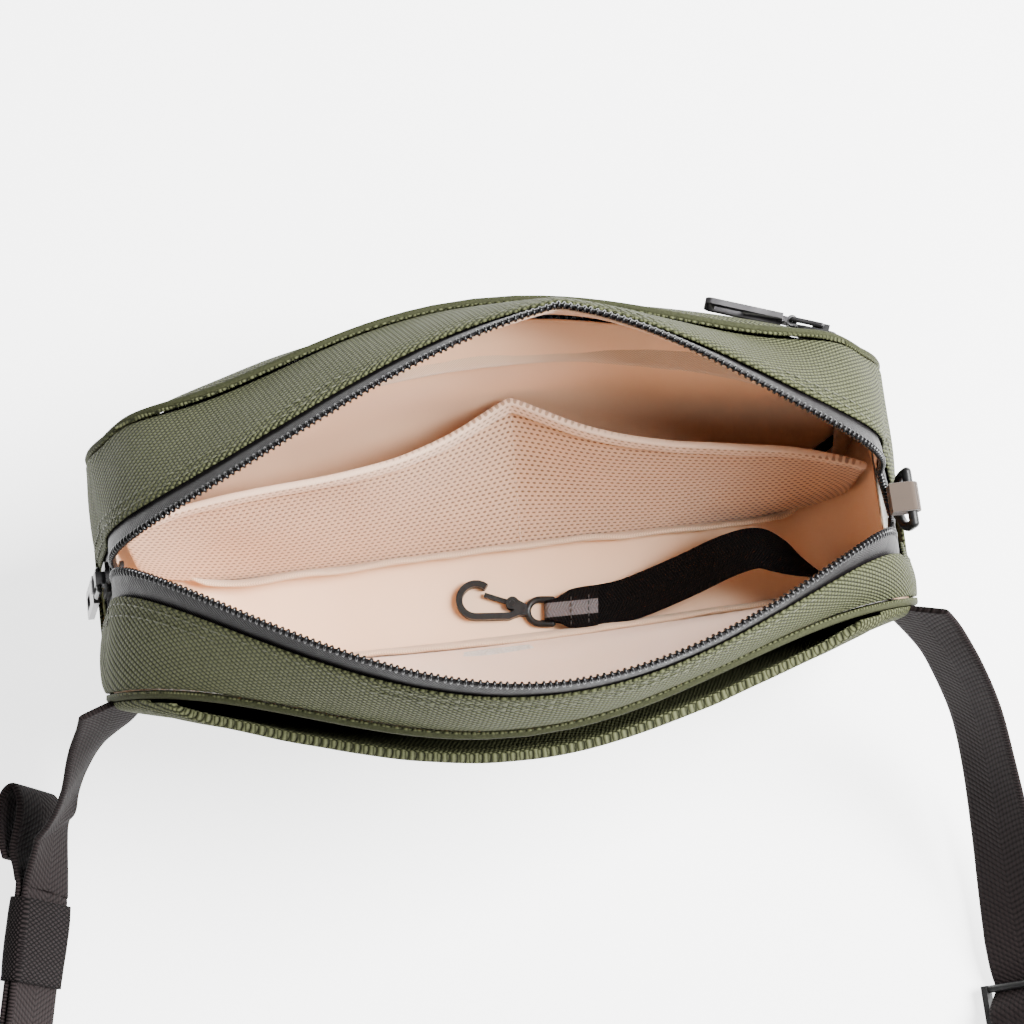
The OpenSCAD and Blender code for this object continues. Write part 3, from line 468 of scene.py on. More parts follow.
cloth("lining_back", 80, 40, panel_place(-1, 2.6, 5.7), 0.8, satin, ["lining_back"],
      inward=True, sink=0, puffs=0.8, puff_size=34, seed=21)
cloth("lining_front", 100, 48, panel_place(1, 1.7, 2.6, dish=14.7), 0.8, satin,
      ["lining_front"], inward=True, sink=0, puffs=1.5, puff_size=26, seed=23)
cloth("lining_base", 140, 26, shell_place(5.3, 0.0), 0.8, satin, ["lining_base"],
      inward=True, sink=0, puffs=0.9, puff_size=26, seed=24)

# ---------------------------------------------------------------------------
# Bound seams: the raw edges of all the layers are wrapped in grosgrain tape and
# stand up inside the bag as a soft ridge right round each face.

binding = Finish("grosgrain", "binding_tape", Roughness=0.8, Sheen_Weight=0.3)
x, y = binding.threads()
rib = (x / 0.85).crown()
binding.drive(Base_Color=binding.mix(rib * 0.6 + binding.cloud(40.0) * 0.5,
                                     (0.36, 0.23, 0.14), (0.74, 0.53, 0.36)))
binding.bump(rib, 0.18)


def binding_place(side, depth):
    foot = outline(side, 5.5, 0, depth)
    head = outline(side, 13.5, 0, depth)
    dip = []
    for h in head:
        rise = bag_h - shoulder_z if h[2] > shoulder_z else shoulder_z
        share = max(abs(h[0]) / (half_w - 5.4), abs(h[2] - shoulder_z) / (rise - 5.4))
        dip.append(11 * (1 - share**8) if side > 0 else 0)

    def place(u, v):
        i = u * len(foot)
        k = int(i) % len(foot)
        f = Vector(foot[k]).lerp(Vector(foot[(k + 1) % len(foot)]), i - int(i))
        h = Vector(head[k]).lerp(Vector(head[(k + 1) % len(foot)]), i - int(i))
        a = 2 * math.pi * v
        share = 0.5 - 0.5 * math.cos(a)
        p = f.lerp(h, share)
        p.y -= side * dip[k] * share
        p.y -= side * (1.1 - 1.25 * math.sin(a) * (0.55 + 0.45 * share))
        wave = ripple(p, 13, 31) * 1.1 + ripple(p, 30, 32) * 1.2
        p += (h - f).normalized() * wave * share * 0.6
        p.y += wave * share * 0.5 - (8.5 * max(0, 1 - f.z / 30) if side > 0 else 0)
        return p
    return place


for name, side, depth in (("binding_front", 1, 8.2), ("binding_back", -1, 6.4)):
    cloth(name, 420, 14, binding_place(side, depth), 0.3, binding, [name],
          sink=0, round_edge=0)

# ---------------------------------------------------------------------------
# Mesh pocket: a wide piece of perforated knit sewn into the floor seam and the
# sides, and tacked to the front wall at its middle, so it stands off as two bays.

mesh_half = half_w - 5.4 - 4.5
mesh_h, stitch_x = 75, 8


def mesh_bump(x):
    return math.exp(-((abs(x - stitch_x) / 27) ** 1.25))


def mesh_point(u, v):
    x = mesh_half * (2 * u - 1)
    top_y = 24 + 18.5 * mesh_bump(x) - 6 * max(0, x - stitch_x) / 100 - 9 * (
        abs(x) / mesh_half) ** 6
    z0 = 8.4 + corner_r - math.sqrt(max(0, corner_r**2 - max(
        0, abs(x) - (half_w - corner_r) + 6) ** 2))
    z = z0 + (mesh_h + 3 * mesh_bump(x) - z0) * v
    sag = 1.6 * math.sin(math.pi * v) * ripple((x, 0, z), 34, 41)
    return (x, 12.5 + (top_y - 12.5) * v + sag, z)


def knit(name, slot, hole_w, hole_h, dark, light):
    """Knitted mesh: rows of small holes between plain ribs, each hole painted dark as the shade seen
    through it.
    """
    finish = Finish(name, slot, Roughness=0.85, Sheen_Weight=0.3)
    x, y = finish.threads()
    row = (y / hole_h).math("FLOOR")
    dx = ((x / hole_w + row * 0.5).math("FRACT") - 0.5) * 2.2
    dy = ((y / hole_h).math("FRACT") - 0.5) * 2.6
    apart = (dx * dx + dy * dy).math("SQRT")
    knit_vs_hole_shade = finish.add("ShaderNodeMapRange", {"interpolation_type": "SMOOTHSTEP"},
                       {"Value": apart, "From Min": 0.45, "From Max": 0.85})
    stitch = (x / 0.45).crown() * 0.3 + knit_vs_hole_shade * 0.7
    # Painted shade: the holes take the dark colour, standing in for the shadow seen through them; the
    # knit between them takes the light colour.
    finish.drive(Base_Color=finish.mix(knit_vs_hole_shade * 0.85 + finish.cloud(60.0) * 0.2, dark, light))
    finish.bump(stitch, 0.25)
    return finish


# The first colour of each knit is the painted shade inside its holes.
mesh_knit = knit("mesh_knit", "mesh", 2.0, 2.3, (0.13, 0.06, 0.028), (0.68, 0.44, 0.28))
pocket = cloth("mesh_pocket", 120, 30, lambda u, v: mesh_point(u, v * 0.925), 0.8, mesh_knit,
               ["mesh_pocket"], inward=True, sink=0, puffs=0.5, puff_size=22, seed=42)
hem_knit = knit("hem_knit", "mesh_hem", 2.1, 1.6, (0.35, 0.22, 0.14), (0.80, 0.58, 0.42))
pocket_hem = cloth("mesh_pocket_trim", 160, 5, lambda u, v: mesh_point(u, 0.925 + v * 0.075),
                   2.4, hem_knit, ["mesh_pocket_trim"], inward=True, sink=0, puffs=0.4,
                   puff_size=12, seed=43)


def stitches(name, path, length, gap, thick, finish, body="bag"):
    """A row of sewn stitches: short plump threads laid end to end along a path."""
    bm = bmesh.new()
    points = [Vector(p) for p in path]
    run = [0.0]
    for a, b in zip(points, points[1:]):
        run.append(run[-1] + (b - a).length)

    def at(s):
        k = max(0, min(len(run) - 2, int(np.searchsorted(run, s)) - 1))
        share = (s - run[k]) / max(1e-6, run[k + 1] - run[k])
        return points[k].lerp(points[k + 1], share)
    s = gap
    while s + length < run[-1]:
        a, b = at(s), at(s + length)
        t = (b - a).normalized()
        turn = t.to_track_quat("X", "Z").to_matrix().to_4x4()
        turn.translation = (a + b) / 2
        shape = Matrix.Diagonal((length * 0.56, thick, thick, 1))
        bmesh.ops.create_uvsphere(bm, u_segments=6, v_segments=4, radius=1.0,
                                  matrix=turn @ shape)
        s += length + gap
    return made(name, bm, finish, body)


def thread(name, slot, dark, light):
    """Twisted sewing thread in two shades of one colour."""
    finish = Finish(name, slot, Roughness=0.6)
    finish.drive(Base_Color=finish.mix(finish.cloud(2500.0, 1.0), dark, light))
    return finish


peach_thread = thread("peach_thread", "peach_lining", (0.48, 0.35, 0.25), (0.72, 0.57, 0.44))
middle = (stitch_x / mesh_half + 1) / 2
stitches("mesh_middle_stitching", [Vector(mesh_point(middle, v / 20)) + Vector((0, -0.6, 0.2))
                                   for v in range(21)], 2.4, 0.7, 0.28, peach_thread)

# ---------------------------------------------------------------------------
# Top halves: two strips of nylon between the face panels' crowns and the zip.
# Each one's long edge is folded under and topstitched twice beside the zip tape.

mouth_half, mouth_z, mouth_top = 117, 88, 146
drop, out = mouth_z - shoulder_z, half_w - 0.8 - mouth_half
bands, ends = 36, 3


def mouth_front(x):
    s = max(0, min(1, (23 - x) / 144 if x < 23 else (x - 23) / 102))
    return 50 * (0.5 * math.cos(math.pi / 2 * s) ** 2 + 0.5 * (1 - s))


def mouth_back(x):
    s = max(-1, min(1, (x - 12) / 132))
    return -60.5 * max(0, math.cos(math.pi / 2 * s)) ** 1.1


def chain_point(side, k):
    """The line of the zip's teeth, k from 0 at the left end to 36 at the right."""
    if k < ends:
        return Vector((-mouth_half - out * (1 - k / ends), side * 0.5, shoulder_z + drop * k / ends))
    if k > bands - ends:
        t = (k - bands + ends) / ends
        y = mouth_front(mouth_half) if side > 0 else mouth_back(mouth_half)
        return Vector((mouth_half + out * t, y + (-5 - y) * min(1, t * 1.2) + side * 0.5,
                       mouth_z - drop * t))
    a = math.radians(-90 + 180 * (k - ends) / (bands - 2 * ends))
    x = mouth_half * power(math.sin(a), 2 / 2.6)
    return Vector((x, (mouth_front(x) if side > 0 else mouth_back(x)) + side * 0.5,
                   mouth_z + (mouth_top - mouth_z) * max(0, math.cos(a)) ** (2 / 2.6)))


def seam_point(side, k):
    a = math.radians(-90 + 180 * k / bands)
    x = half_w * power(math.sin(a), 2 / 2.8)
    z = shoulder_z + (bag_h - shoulder_z) * max(0, math.cos(a)) ** (2 / 2.8)
    return Vector((x, face_y(side, x, z) - side * 1.3, z))


def band_point(side, k, d):
    """d millimetres from the teeth towards the face's crown seam."""
    tooth, seam = chain_point(side, k), seam_point(side, k)
    return tooth + (seam - tooth).normalized() * d


def band_place(side, start, stop, bulge=0.0, depth=0.0):
    def place(u, v):
        k = bands * u
        tooth, seam = chain_point(side, k), seam_point(side, k)
        away = (seam - tooth).normalized()
        ahead = (chain_point(side, min(bands, k + 0.3)) - chain_point(side, max(0, k - 0.3)))
        out_of = away.cross(ahead).normalized() * -side
        length = (seam - tooth).length
        d = start + (length - stop - start) * v
        return tooth + away * d + out_of * (bulge * math.sin(math.pi * v) - depth)
    return place


for name, side in (("top_gusset_front", 1), ("top_gusset_back", -1)):
    cloth(name, 216, 16, band_place(side, 8.0, 0.2, 1.2), 1.2, green, [name],
          puffs=1.0, puff_size=30, seed=50 + side)
for name, side in (("top_lining_front", 1), ("top_lining_back", -1)):
    cloth(name, 180, 14, band_place(side, 3.0, -0.5, 0.0, 2.4), 0.8, satin, [name],
          inward=True, sink=-1, puffs=0.6, puff_size=24, seed=60 + side)

green_thread = thread("green_thread", "green_cloth", (0.025, 0.028, 0.014), (0.095, 0.10, 0.056))
for name, side in (("front_topstitching", 1), ("back_topstitching", -1)):
    for row, d in (("outer", 10.2), ("inner", 13.6)):
        edge = band_place(side, d, 0.2, 0.0, -1.2 * math.sin(math.pi * (d - 8) / 30) - 0.15)
        stitches(f"{name}_{row}", [edge(i / 400, 0) for i in range(401)], 2.3, 1.0, 0.26,
                 green_thread)

# ---------------------------------------------------------------------------
# Main zip: two coated tapes, each with a row of moulded teeth along one edge. They
# are sewn under the top halves' folded edges, and meet again at the bag's two ends.

coated = Finish("coated_tape", "tape", Roughness=0.45, Specular_IOR_Level=0.11)
x, y = coated.threads()
chevron = ((x + (y.math("PINGPONG", 2.2)) * 1.1) / 1.25).crown()
pucker = coated.cloud(260.0, 2.0)
coated.drive(Base_Color=coated.mix(chevron * 0.5 + pucker * 0.4, (0.002, 0.002, 0.002),
                                   (0.014, 0.012, 0.013)), Roughness=pucker * 0.25 + 0.34)
coated.bump(chevron * 0.35 + pucker, 0.22)


def strip_place(side, low, high, depth):
    def place(u, v):
        k = bands * u
        tooth, seam = chain_point(side, k), seam_point(side, k)
        away = (seam - tooth).normalized()
        ahead = chain_point(side, min(bands, k + 0.3)) - chain_point(side, max(0, k - 0.3))
        out_of = away.cross(ahead).normalized() * -side
        lift = 0.35 * math.sin(math.pi * min(1, v * high / 8))
        return tooth + away * (low + (high - low) * v) - out_of * (depth - lift)
    return place


for name, side in (("main_zip_tape_front", 1), ("main_zip_tape_back", -1)):
    cloth(name, 260, 8, strip_place(side, 0.3, 12.5, 1.4), 0.8, coated, [name],
          puffs=0.12, puff_size=5, seed=70 + side, round_edge=0)

moulded = Finish("moulded_teeth", "teeth", Roughness=0.25, Specular_IOR_Level=0.4)
worn = moulded.cloud(300.0, 2.0)
moulded.drive(Base_Color=moulded.mix(worn, (0.002, 0.002, 0.002), (0.010, 0.010, 0.011)),
              Roughness=worn * 0.2 + 0.15)


def zip_teeth(name, spots, finish, long_by=1.45, wide=0.66, thick=1.15):
    """Teeth as plump beads; each spot gives its centre, run, reach and face directions."""
    bm = bmesh.new()
    for centre, run, reach, face in spots:
        turn = Matrix((run, reach, face)).transposed().to_4x4()
        turn.translation = centre
        bmesh.ops.create_uvsphere(bm, u_segments=8, v_segments=5, radius=1.0,
                                  matrix=turn @ Matrix.Diagonal((wide, long_by, thick, 1)))
    return made(name, bm, finish, "bag", name)


main_pitch = 1.95
for name, side in (("main_zip_teeth_front", 1), ("main_zip_teeth_back", -1)):
    steps = [bands * i / 1800 for i in range(1801)]
    line = [chain_point(side, k) for k in steps]
    spots, left = [], 1.0 if side > 0 else 0.05
    for i in range(1, 1790):
        left -= (line[i] - line[i - 1]).length
        if left <= 0:
            left += main_pitch
            run = (line[i + 5] - line[max(0, i - 5)]).normalized()
            reach = seam_point(side, steps[i]) - line[i]
            reach = (reach - run * reach.dot(run)).normalized()
            face = run.cross(reach).normalized() * -side
            spots.append((line[i] + reach * 0.75 + face * 1.8, run, reach, -face * side))
    zip_teeth(name, spots, moulded)

# ---------------------------------------------------------------------------
# Front zip: the same chain, but closed, in the slot of the front panel. Its two
# tapes are stitched to the slot's edges.

zip_centre_y = front_y(0, zip_z) - zip_r


def on_arc(a, r, z):
    return Vector((r * math.sin(a), zip_centre_y + r * math.cos(a), z))


left_end, right_end = math.asin(zip_left / zip_r), math.asin(zip_right / zip_r)
bm = bmesh.new()
for sign in (-1, 1):
    grid = bmesh.ops.create_grid(bm, x_segments=120, y_segments=3, size=0.5)["verts"]
    for v in grid:
        a = -left_end - 0.009 + (left_end + right_end + 0.018) * (v.co.x + 0.5)
        v.co = on_arc(a, 299.75, zip_z + sign * (0.5 + 4.7 * (v.co.y + 0.5)))
bmesh.ops.solidify(bm, geom=bm.faces[:], thickness=0.7)
bmesh.ops.recalc_face_normals(bm, faces=bm.faces[:])
front_coated = Finish("front_tape_cloth", "tape", Roughness=0.55, Specular_IOR_Level=0.2)
weave = front_coated.cloud(700.0, 2.0)
front_coated.drive(Base_Color=front_coated.mix(weave, (0.002, 0.002, 0.002),
                                               (0.014, 0.013, 0.013)))
front_coated.bump(weave, 0.15)
made("front_zip_tape", bm, front_coated, "bag", "front_zip_tape", smooth=False)

spots, front_pitch = [], 2.3
slider_at = math.asin((zip_right - 5) / zip_r)
for row, sign in enumerate((-1, 1)):
    a = -left_end + 0.005 + row * 0.5 * front_pitch / zip_r
    while a < slider_at - 0.026:
        out_way = Vector((math.sin(a), math.cos(a), 0))
        run = Vector((math.cos(a), -math.sin(a), 0))
        spots.append((on_arc(a, 299.4, zip_z + sign * 1.45), run, Vector((0, 0, 1)) * sign,
                      out_way))
        a += front_pitch / zip_r
zip_teeth("front_zip_teeth", spots, moulded, 1.0, 0.8, 1.2)

# ---------------------------------------------------------------------------
# Sliders, bails and pulls: die-cast zinc. The sliders and bails are painted black,
# and the pulls are plated dark grey, with a window punched through.


def refined(node, finish, body, width=0.25, angle=32, segments=2):
    """A hard part from its CAD solid, with its sharp edges eased as a mould leaves them."""
    bm = bmesh.new()
    bm.from_mesh(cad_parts[node].data)
    bmesh.ops.scale(bm, vec=(1000,) * 3, verts=bm.verts)
    bmesh.ops.remove_doubles(bm, verts=bm.verts, dist=0.004)
    bmesh.ops.dissolve_limit(bm, angle_limit=math.radians(0.6), verts=bm.verts, edges=bm.edges)
    sharp = [e for e in bm.edges if len(e.link_faces) == 2
             and e.calc_face_angle() > math.radians(angle)]
    bmesh.ops.bevel(bm, geom=sharp, offset=width, segments=segments, profile=0.5,
                    affect="EDGES", clamp_overlap=True, material=-1)
    piece = made(node, bm, finish, body, node)
    piece.data.set_sharp_from_angle(angle=math.radians(42))
    even = piece.modifiers.new("even", "WEIGHTED_NORMAL")
    even.keep_sharp = True
    return piece


def metal(name, slot, low, high, rough, **constants):
    finish = Finish(name, slot, Metallic=1.0, **constants)
    brush = finish.cloud(120.0, 4.0)
    fine = finish.cloud(2600.0, 2.0)
    finish.drive(Base_Color=finish.mix(brush, low, high), Roughness=brush * 0.18 + rough)
    finish.bump(fine, 0.02)
    return finish


black_metal = Finish("painted_slider", "slider_metal", Roughness=0.3, Specular_IOR_Level=0.4)
scuffs = black_metal.cloud(220.0, 5.0)
black_metal.drive(Base_Color=black_metal.mix(scuffs, (0.003, 0.003, 0.003), (0.014, 0.013, 0.014)),
                  Roughness=scuffs * 0.3 + 0.15)
gunmetal = metal("plated_pull", "pull_metal", (0.12, 0.115, 0.12), (0.22, 0.215, 0.22), 0.22)
for zip_name in ("main", "front"):
    refined(f"{zip_name}_slider", black_metal, f"{zip_name}_slider", 0.35)
    refined(f"{zip_name}_bail", black_metal, f"{zip_name}_bail", 0.1)
    refined(f"{zip_name}_pull", gunmetal, f"{zip_name}_pull", 0.25)

# ---------------------------------------------------------------------------
# D-ring: moulded nylon, on a folded tab of grosgrain sewn into the right-hand end
# of the main zip.

plastic = Finish("black_nylon", "black_plastic", Roughness=0.38, Specular_IOR_Level=0.3)
skin = plastic.cloud(900.0, 3.0)
plastic.drive(Base_Color=plastic.mix(skin, (0.003, 0.003, 0.003), (0.012, 0.012, 0.012)),
              Roughness=skin * 0.25 + 0.28)
plastic.bump(skin, 0.05)
refined("d_ring", plastic, "d_ring", 0.05, 50)
tab_tape = Finish("tab_grosgrain", "tab_tape", Roughness=0.8, Sheen_Weight=0.3)
ribs = (tab_tape.add("ShaderNodeSeparateXYZ", {}, [tab_tape.place()], 2) * 1000 / 0.8).crown()
tab_tape.drive(Base_Color=tab_tape.mix(ribs * 0.7 + tab_tape.cloud(200.0) * 0.3,
                                       (0.015, 0.009, 0.006), (0.06, 0.038, 0.024)))
tab_tape.bump(ribs, 0.15)
refined("d_ring_tab", tab_tape, "bag", 0.3)

# ---------------------------------------------------------------------------
# Key leash: 15 mm nylon webbing with a reflective stripe woven into one face. Its
# end is gathered through the hook's eye, folded back and sewn down.


def width_way(t, lean):
    """Across webbing that runs along t: upright, then tipped by lean degrees."""
    right = t.cross(Vector((0, 0, 1))).normalized()
    up = right.cross(t)
    return up * math.cos(math.radians(lean)) + right * math.sin(math.radians(lean))


def smooth_run(points, steps=4):
    """A smooth curve through chosen points or numbers."""
    points = [Vector(p) if hasattr(p, "__len__") else p for p in points]
    run = []
    for i in range(len(points) - 1):
        a, b = points[max(i - 1, 0)], points[i]
        c, d = points[i + 1], points[min(i + 2, len(points) - 1)]
        for k in range(steps):
            t = k / steps
            run.append((b * 2 + (c - a) * t + (a * 2 - b * 5 + c * 4 - d) * t * t
                        + (b * 3 - a - c * 3 + d) * t**3) * 0.5)
    return run + [points[-1]]


def run_way(route, i):
    return (route[min(i + 1, len(route) - 1)] - route[max(i - 1, 0)]).normalized()


def ribbon(name, route, ways, widths, thick, finish, nodes, back=None, puffs=0.0, columns=None):
    """Webbing laid along a route, each stitch of its width pointing along ways."""
    last = len(route) - 1

    def place(u, v):
        i = min(last - 1, int(u * last))
        share = u * last - i
        way = ways[i].lerp(ways[i + 1], share).normalized()
        width = widths
        if isinstance(widths, list):
            width = widths[i] + (widths[i + 1] - widths[i]) * share
        return route[i].lerp(route[i + 1], share) + way * width * (v - 0.5)
    piece = cloth(name, columns or last * 2, 10, place, thick, finish, nodes, sink=0,
                  centred=True, puffs=puffs, puff_size=9, seed=80, even=False)
    if back:
        piece.data.materials.append(back.material)
        piece.modifiers["thickness"].material_offset = 1
    return piece


def webbing(name, slot, dark, light, pitch, stripe=None, half=12.5):
    """Woven nylon: herringbone ribs either side of a middle ridge, with a braided edge."""
    finish = Finish(name, slot, Roughness=0.7, Specular_IOR_Level=0.04)
    x, y = finish.threads()
    far = y.math("ABSOLUTE")
    rib = ((x + far * 0.55) / pitch).crown()
    row = (y / (pitch * 0.9)).crown()
    edge = finish.add("ShaderNodeMapRange", {}, {"Value": far, "From Min": half - 1.7,
                                                  "From Max": half - 1.3})
    braid = (x / (pitch * 0.62)).crown()
    height = (rib * 0.65 + row * 0.35) * (1 - edge) + braid * edge
    colour = finish.mix(height * 0.8 + finish.cloud(50.0) * 0.2, dark, light)
    if stripe:
        band = finish.add("ShaderNodeMapRange", {}, {"Value": far, "From Min": 2.5, "From Max": 2.3})
        colour = finish.mix(band, colour, stripe)
    finish.drive(Base_Color=colour)
    finish.bump(height, 0.3)
    return finish


leash_black = webbing("leash_webbing", "black_webbing", (0.001, 0.001, 0.001),
                      (0.006, 0.005, 0.005), 1.0, None, 7.25)
leash_striped = webbing("striped_webbing", "black_webbing", (0.001, 0.001, 0.001),
                        (0.006, 0.005, 0.005), 1.0, (0.12, 0.11, 0.115), 7.25)
eye = Vector((15.57, -10.49, 7.6))
leash_stops = [(30.5, -11.1, 10.9), (26, -11.0, 11.0), (21, -10.8, 10.6), (17.5, -10.6, 9.9)]
leash_stops += [tuple(eye + Vector((-1.95 * math.sin(a), 0.1, 1.95 * math.cos(a))))
                for a in (0.5, 1.3, 2.1, 2.8)]
leash_stops += [(17.8, -10.7, 6.6), (20.5, -10.9, 7.6), (26, -11, 8.6), (40, -10.4, 11.5),
                (58, -6.8, 19), (72, -3.5, 27), (82, -2.5, 30), (89, -5, 27.5), (96, -9, 25),
                (104, -13, 23)]
lean_stops = [90, 90, 88, 84, 78, 62, 35, 10, 0]
wide_stops = [14.2, 14.0, 12.6, 8.4, 7.2, 6.8, 6.8, 7.0, 7.6, 10.5, 14.2, 14.5] + [14.5] * 6
leash_run = smooth_run(leash_stops, 5)
hook_way = Vector((0.122, 0.9925, 0))
leash_leans = smooth_run([float(a) for a in lean_stops], 5)
leash_widths = smooth_run([float(a) for a in wide_stops], 5)
fold = 50
leash_ways = [hook_way.copy() for i in range(fold)]
for i in range(fold, len(leash_run)):
    lean = leash_leans[min(len(leash_leans) - 1, i - fold)]
    way = -width_way(run_way(leash_run, i), lean)
    leash_ways.append(hook_way.lerp(way, min(1, (i - fold) / 7.5)).normalized())
leash = ribbon("key_leash", leash_run, leash_ways, leash_widths, 1.4,
               leash_striped, ["key_leash"], back=leash_black)
black_thread = thread("black_thread", "black_webbing", (0.004, 0.004, 0.004), (0.03, 0.028, 0.028))
for row, x in enumerate((21.6, 27.4)):
    across_path = [Vector((x, -11.0, 11.75)) + hook_way * d for d in (-6, -3, 0, 3, 6)]
    stitches(f"leash_stitching_{row}", across_path, 1.5, 0.5, 0.24, black_thread)

# ---------------------------------------------------------------------------
# Key hook: moulded in one piece with a round eye, with a springy gate pinned to its
# neck that closes under the hook's tip.

refined("key_hook", plastic, "key_hook", 0.5, 40, 3)
refined("hook_gate", plastic, "hook_gate", 0.25)

# ---------------------------------------------------------------------------
# Shoulder strap: 25 mm webbing in two lengths. The left one goes through the buckle
# and back through the keeper, and its end is folded and sewn into a pull loop.

strap_cloth = webbing("strap_webbing", "strap_webbing", (0.001, 0.001, 0.001),
                      (0.020, 0.015, 0.015), 1.75)
web_w, web_t = 25.0, 1.9
left_lean = 24
left_way = Vector((-0.2, -0.98, 0)).normalized()
keeper_low, keeper_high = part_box("strap_keeper")
keeper_at = Vector(((keeper_low[0] + keeper_high[0]) * 500, (keeper_low[1] + keeper_high[1]) * 500,
                    (keeper_low[2] + keeper_high[2]) * 500))
layer, wrap = web_t / 2 + 0.25, 1.6 + 0.15 + web_t / 2
buckle_at, socket_bar = 62, 41


def left_point(s, across=0.0):
    face = left_way.cross(width_way(left_way, left_lean)).normalized()
    return keeper_at + left_way * s + face * across


fall = smooth_run([(-119.8, -36.4, 78), (-124.5, -40, 64), (-134, -46.5, 47), (-143, -56, 33),
                   (-150.5, -66, 23)], 3)
leans = smooth_run([14.0, 8.0, -8.0, -8.0, 10.0], 3)
route = fall + [left_point(s, -layer) for s in (-17, -14, 4, 28, buckle_at - 10)]
route += [left_point(buckle_at + wrap * math.sin(math.radians(a)), -wrap * math.cos(math.radians(a)))
          for a in range(0, 181, 20)]
route += [left_point(s, layer) for s in (buckle_at - 10, 28, 4)]
route += smooth_run([left_point(*p) for p in (
    (-16, 1.3), (-22, 3.2), (-28, 5.4), (-36, 4.6), (-43, 4.8), (-48, 8), (-45, 11.6),
    (-38, 12.4), (-31, 10.4), (-25, 7.6))], 2)
ways = [width_way(run_way(route, i), leans[i]) if i < len(fall) else width_way(left_way, left_lean)
        for i in range(len(route))]


def sleeker(route, ways, steps=3):
    """The same route and ways at finer steps."""
    return smooth_run(route, steps), [w.normalized() for w in smooth_run(ways, steps)]


left_run_fine = sleeker(route, ways)
strap_left = ribbon("strap_left", *left_run_fine, web_w, web_t, strap_cloth, ["strap_left"],
                    puffs=0.12)
left_length = sum((b - a).length for a, b in zip(left_run_fine[0], left_run_fine[0][1:])) / 1000

# The right one is woven through the adjuster, goes round to the buckle's other half
# and comes back to the adjuster's middle bar, so the strap's length can be set.
right_lean, right_way = -50, Vector((0, -1, 0))
adjuster_at = Vector((148, -157, 13.2))
bar, bar_pitch, web_z = 1.2, 9, 16.24


def right_point(s, across):
    face = right_way.cross(width_way(right_way, right_lean)).normalized()
    return adjuster_at + right_way * s + face * across


fall = smooth_run([(119.8, -38, 82), (126.5, -44, 72), (133, -52.5, 62), (140, -66, 46),
                   (144, -81.5, 33), (146.5, -101, 22), (147.5, -119, 16), (148, -134, 13.6)], 3)
leans = smooth_run([-12.0, -14.0, -16.0, -20.0, -27.0, -36.0, -44.0, -50.0], 3)
low = web_w / 2 + 0.2
turn = smooth_run([(147, -186, low + 0.2), (141, -212, low), (122, -247, low), (88, -275, low),
                   (44, -292, low), (-4, -299, low), (-52, -298, low), (-100, -288, low),
                   (-140, -268, low), (-166, -242, low + 0.8), (-177, -216, web_z - 0.6)], 2)
turn_leans = smooth_run([-30.0, -12.0, 0.0, 0.0, 0.0, 0.0, 0.0, 0.0, -4.0, -14.0, -24.0], 2)
turn_ways = [width_way(run_way(turn, i), turn_leans[i]) for i in range(len(turn))]
turn_out = [run_way(turn, i).cross(turn_ways[i]).normalized() for i in range(len(turn))]
over = bar + 0.1 + web_t
weave_stops = [(-15, -0.8), (-bar_pitch, -bar - web_t / 2 - 0.2), (-5.2, 0.8), (-2.4, over + 0.3),
               (0, over + web_t / 2 + 0.1), (2.4, over + 0.3), (5.2, 0.8),
               (bar_pitch, -bar - web_t / 2 - 0.2), (15, -0.4)]
round_bar = bar + 0.15 + web_t / 2
at_adjuster = width_way(right_way, right_lean)
at_buckle = width_way(left_way, left_lean)
route = fall + [right_point(*p) for p in weave_stops]
ways = [width_way(run_way(fall, i), leans[i]) for i in range(len(fall))]
ways += [at_adjuster] * len(weave_stops)
route += [p + w * layer for p, w in zip(turn, turn_out)]
ways += turn_ways
wrap_s = buckle_at + socket_bar
route += [left_point(wrap_s - wrap * math.sin(math.radians(a)), -wrap * math.cos(math.radians(a)))
          for a in range(0, 181, 20)]
ways += [at_buckle] * 10
route += [p - w * layer for p, w in zip(reversed(turn), reversed(turn_out))]
ways += list(reversed(turn_ways))
tail = [right_point(15, -3.6), right_point(bar_pitch, -bar - 1.5 * web_t - 0.5),
        right_point(4.5, -3.4)]
tail += [right_point(round_bar * math.cos(math.radians(a)), round_bar * math.sin(math.radians(a)))
         for a in range(-80, -231, -25)]
route += tail
ways += [at_adjuster] * len(tail)
right_run_fine = sleeker(route, ways)
strap_right = ribbon("strap_right", *right_run_fine, web_w, web_t, strap_cloth, ["strap_right"],
                     puffs=0.12)
right_length = sum((b - a).length for a, b in zip(right_run_fine[0], right_run_fine[0][1:])) / 1000

# ---------------------------------------------------------------------------
# Keeper: a sleeve of woven elastic that holds the strap's free end down and slides
# along both layers.

knitted = Finish("keeper_knit", "keeper_elastic", Roughness=0.75, Specular_IOR_Level=0.04)
turned = knitted.add("ShaderNodeMapping", {"vector_type": "POINT"},
                     {"Vector": knitted.place(), "Rotation": (0.0, 0.0, 0.2013)})
kx, ky, kz = (knitted.add("ShaderNodeSeparateXYZ", {}, [turned], axis) * 1000 for axis in range(3))
diamond = ((kx + ky + kz) / 1.5).crown() * ((kx - ky + kz) / 1.5).crown()
knitted.drive(Base_Color=knitted.mix(diamond, (0.001, 0.001, 0.001), (0.018, 0.014, 0.014)))
knitted.bump(diamond, 0.35)
bm = bmesh.new()
bmesh.ops.create_cube(bm, size=1.0)
bmesh.ops.scale(bm, vec=(26.0, 6.7, 27.4), verts=bm.verts)
bmesh.ops.delete(bm, geom=[f for f in bm.faces if abs(f.normal.x) > 0.9], context="FACES_ONLY")
bmesh.ops.bevel(bm, geom=[e for e in bm.edges if abs((e.verts[0].co - e.verts[1].co).x) > 20],
                offset=2.6, segments=5, profile=0.5, affect="EDGES", material=-1)
bmesh.ops.subdivide_edges(bm, edges=[e for e in bm.edges
                                     if abs((e.verts[0].co - e.verts[1].co).x) > 20],
                          cuts=14, use_grid_fill=True)
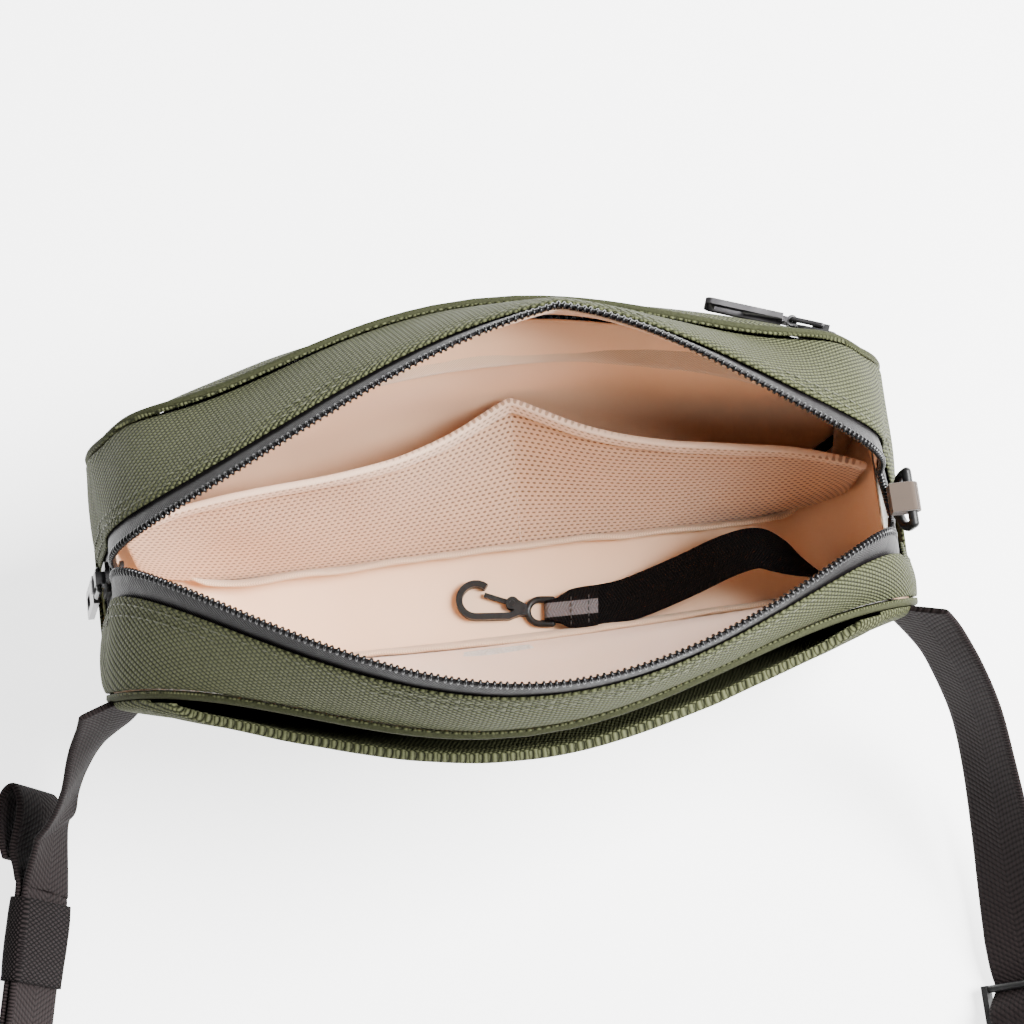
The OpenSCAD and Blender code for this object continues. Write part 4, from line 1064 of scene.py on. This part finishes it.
for v in bm.verts:
    swell = 0.35 * math.cos(math.pi * v.co.x / 26) + 0.25 * ripple(v.co, 8, 90)
    v.co += Vector((0, math.copysign(swell, v.co.y), 0.6 * math.copysign(swell, v.co.z)))
bmesh.ops.recalc_face_normals(bm, faces=bm.faces[:])
bmesh.ops.solidify(bm, geom=bm.faces[:], thickness=0.9)
bmesh.ops.recalc_face_normals(bm, faces=bm.faces[:])
up_way = width_way(left_way, left_lean)
laid = Matrix((left_way, left_way.cross(up_way).normalized(), up_way)).transposed().to_4x4()
laid.translation = keeper_at
bmesh.ops.transform(bm, matrix=laid, verts=bm.verts)
made("strap_keeper", bm, knitted, "strap_keeper", "strap_keeper")

# ---------------------------------------------------------------------------
# Buckle and adjuster: moulded acetal. The buckle's two arms spring inwards to let
# it go, and the adjuster's three bars hold the webbing by friction.

refined("strap_adjuster", plastic, "bag", 0.4, 40, 3)
refined("buckle_male", plastic, "bag", 0.5, 32, 3)
refined("buckle_female", plastic, "bag", 0.6, 32, 3)
refined("buckle_arm_left", plastic, "buckle_arm_left", 0.3)
refined("buckle_arm_right", plastic, "buckle_arm_right", 0.3)

# ---------------------------------------------------------------------------
# Table, light and camera: a plain white table, lit softly from below and by a large
# lamp above and to the right.

bm = bmesh.new()
bmesh.ops.create_grid(bm, x_segments=2, y_segments=2, size=6.0)
bmesh.ops.translate(bm, vec=(0, 0, -0.0004), verts=bm.verts)
table = bpy.data.meshes.new("table")
bm.to_mesh(table)
bm.free()
table = bpy.data.objects.new("table", table)
bpy.context.scene.collection.objects.link(table)
paper = Finish("white_paper", "table", Roughness=0.9, Base_Color=(0.9, 0.9, 0.9, 1),
               Emission_Color=(1, 1, 1, 1), Emission_Strength=2.6)
table.data.materials.append(paper.material)

world = bpy.data.worlds.new("studio")
bpy.context.scene.world = world
world.use_nodes = True
world.node_tree.nodes["Background"].inputs[0].default_value = (1.0, 1.0, 1.0, 1)
world.node_tree.nodes["Background"].inputs[1].default_value = 0.26
for name, size, place, aim, watts in (
        ("overhead", 0.9, (0.98, 0.02, 1.2), (0, 0, 0.05), 135),
        ("side", 0.9, (-0.5, -0.9, 1.2), (0, 0, 0.05), 5)):
    lamp = bpy.data.lights.new(name, "AREA")
    lamp.size = size
    lamp.energy = watts
    light = bpy.data.objects.new(name, lamp)
    bpy.context.scene.collection.objects.link(light)
    light.location = place
    light.rotation_euler = (Vector(aim) - Vector(place)).to_track_quat("-Z", "Y").to_euler()

azimuth, elevation, distance = math.radians(-7), math.radians(76), 0.8
target = Vector((0.0035, -0.001, 0.110))
behind = Vector((math.sin(azimuth) * math.cos(elevation),
                 -math.cos(azimuth) * math.cos(elevation), math.sin(elevation)))
right = Vector((math.cos(azimuth), math.sin(azimuth), 0))
lens = bpy.data.cameras.new("camera")
lens.sensor_width = 36
lens.lens = 2750 * 36 / 1024
lens.clip_start = 0.01
camera = bpy.data.objects.new("camera", lens)
bpy.context.scene.collection.objects.link(camera)
pose = Matrix((right, behind.cross(right), behind)).transposed().to_4x4()
pose.translation = target + behind * distance
camera.matrix_world = pose
bpy.context.scene.camera = camera
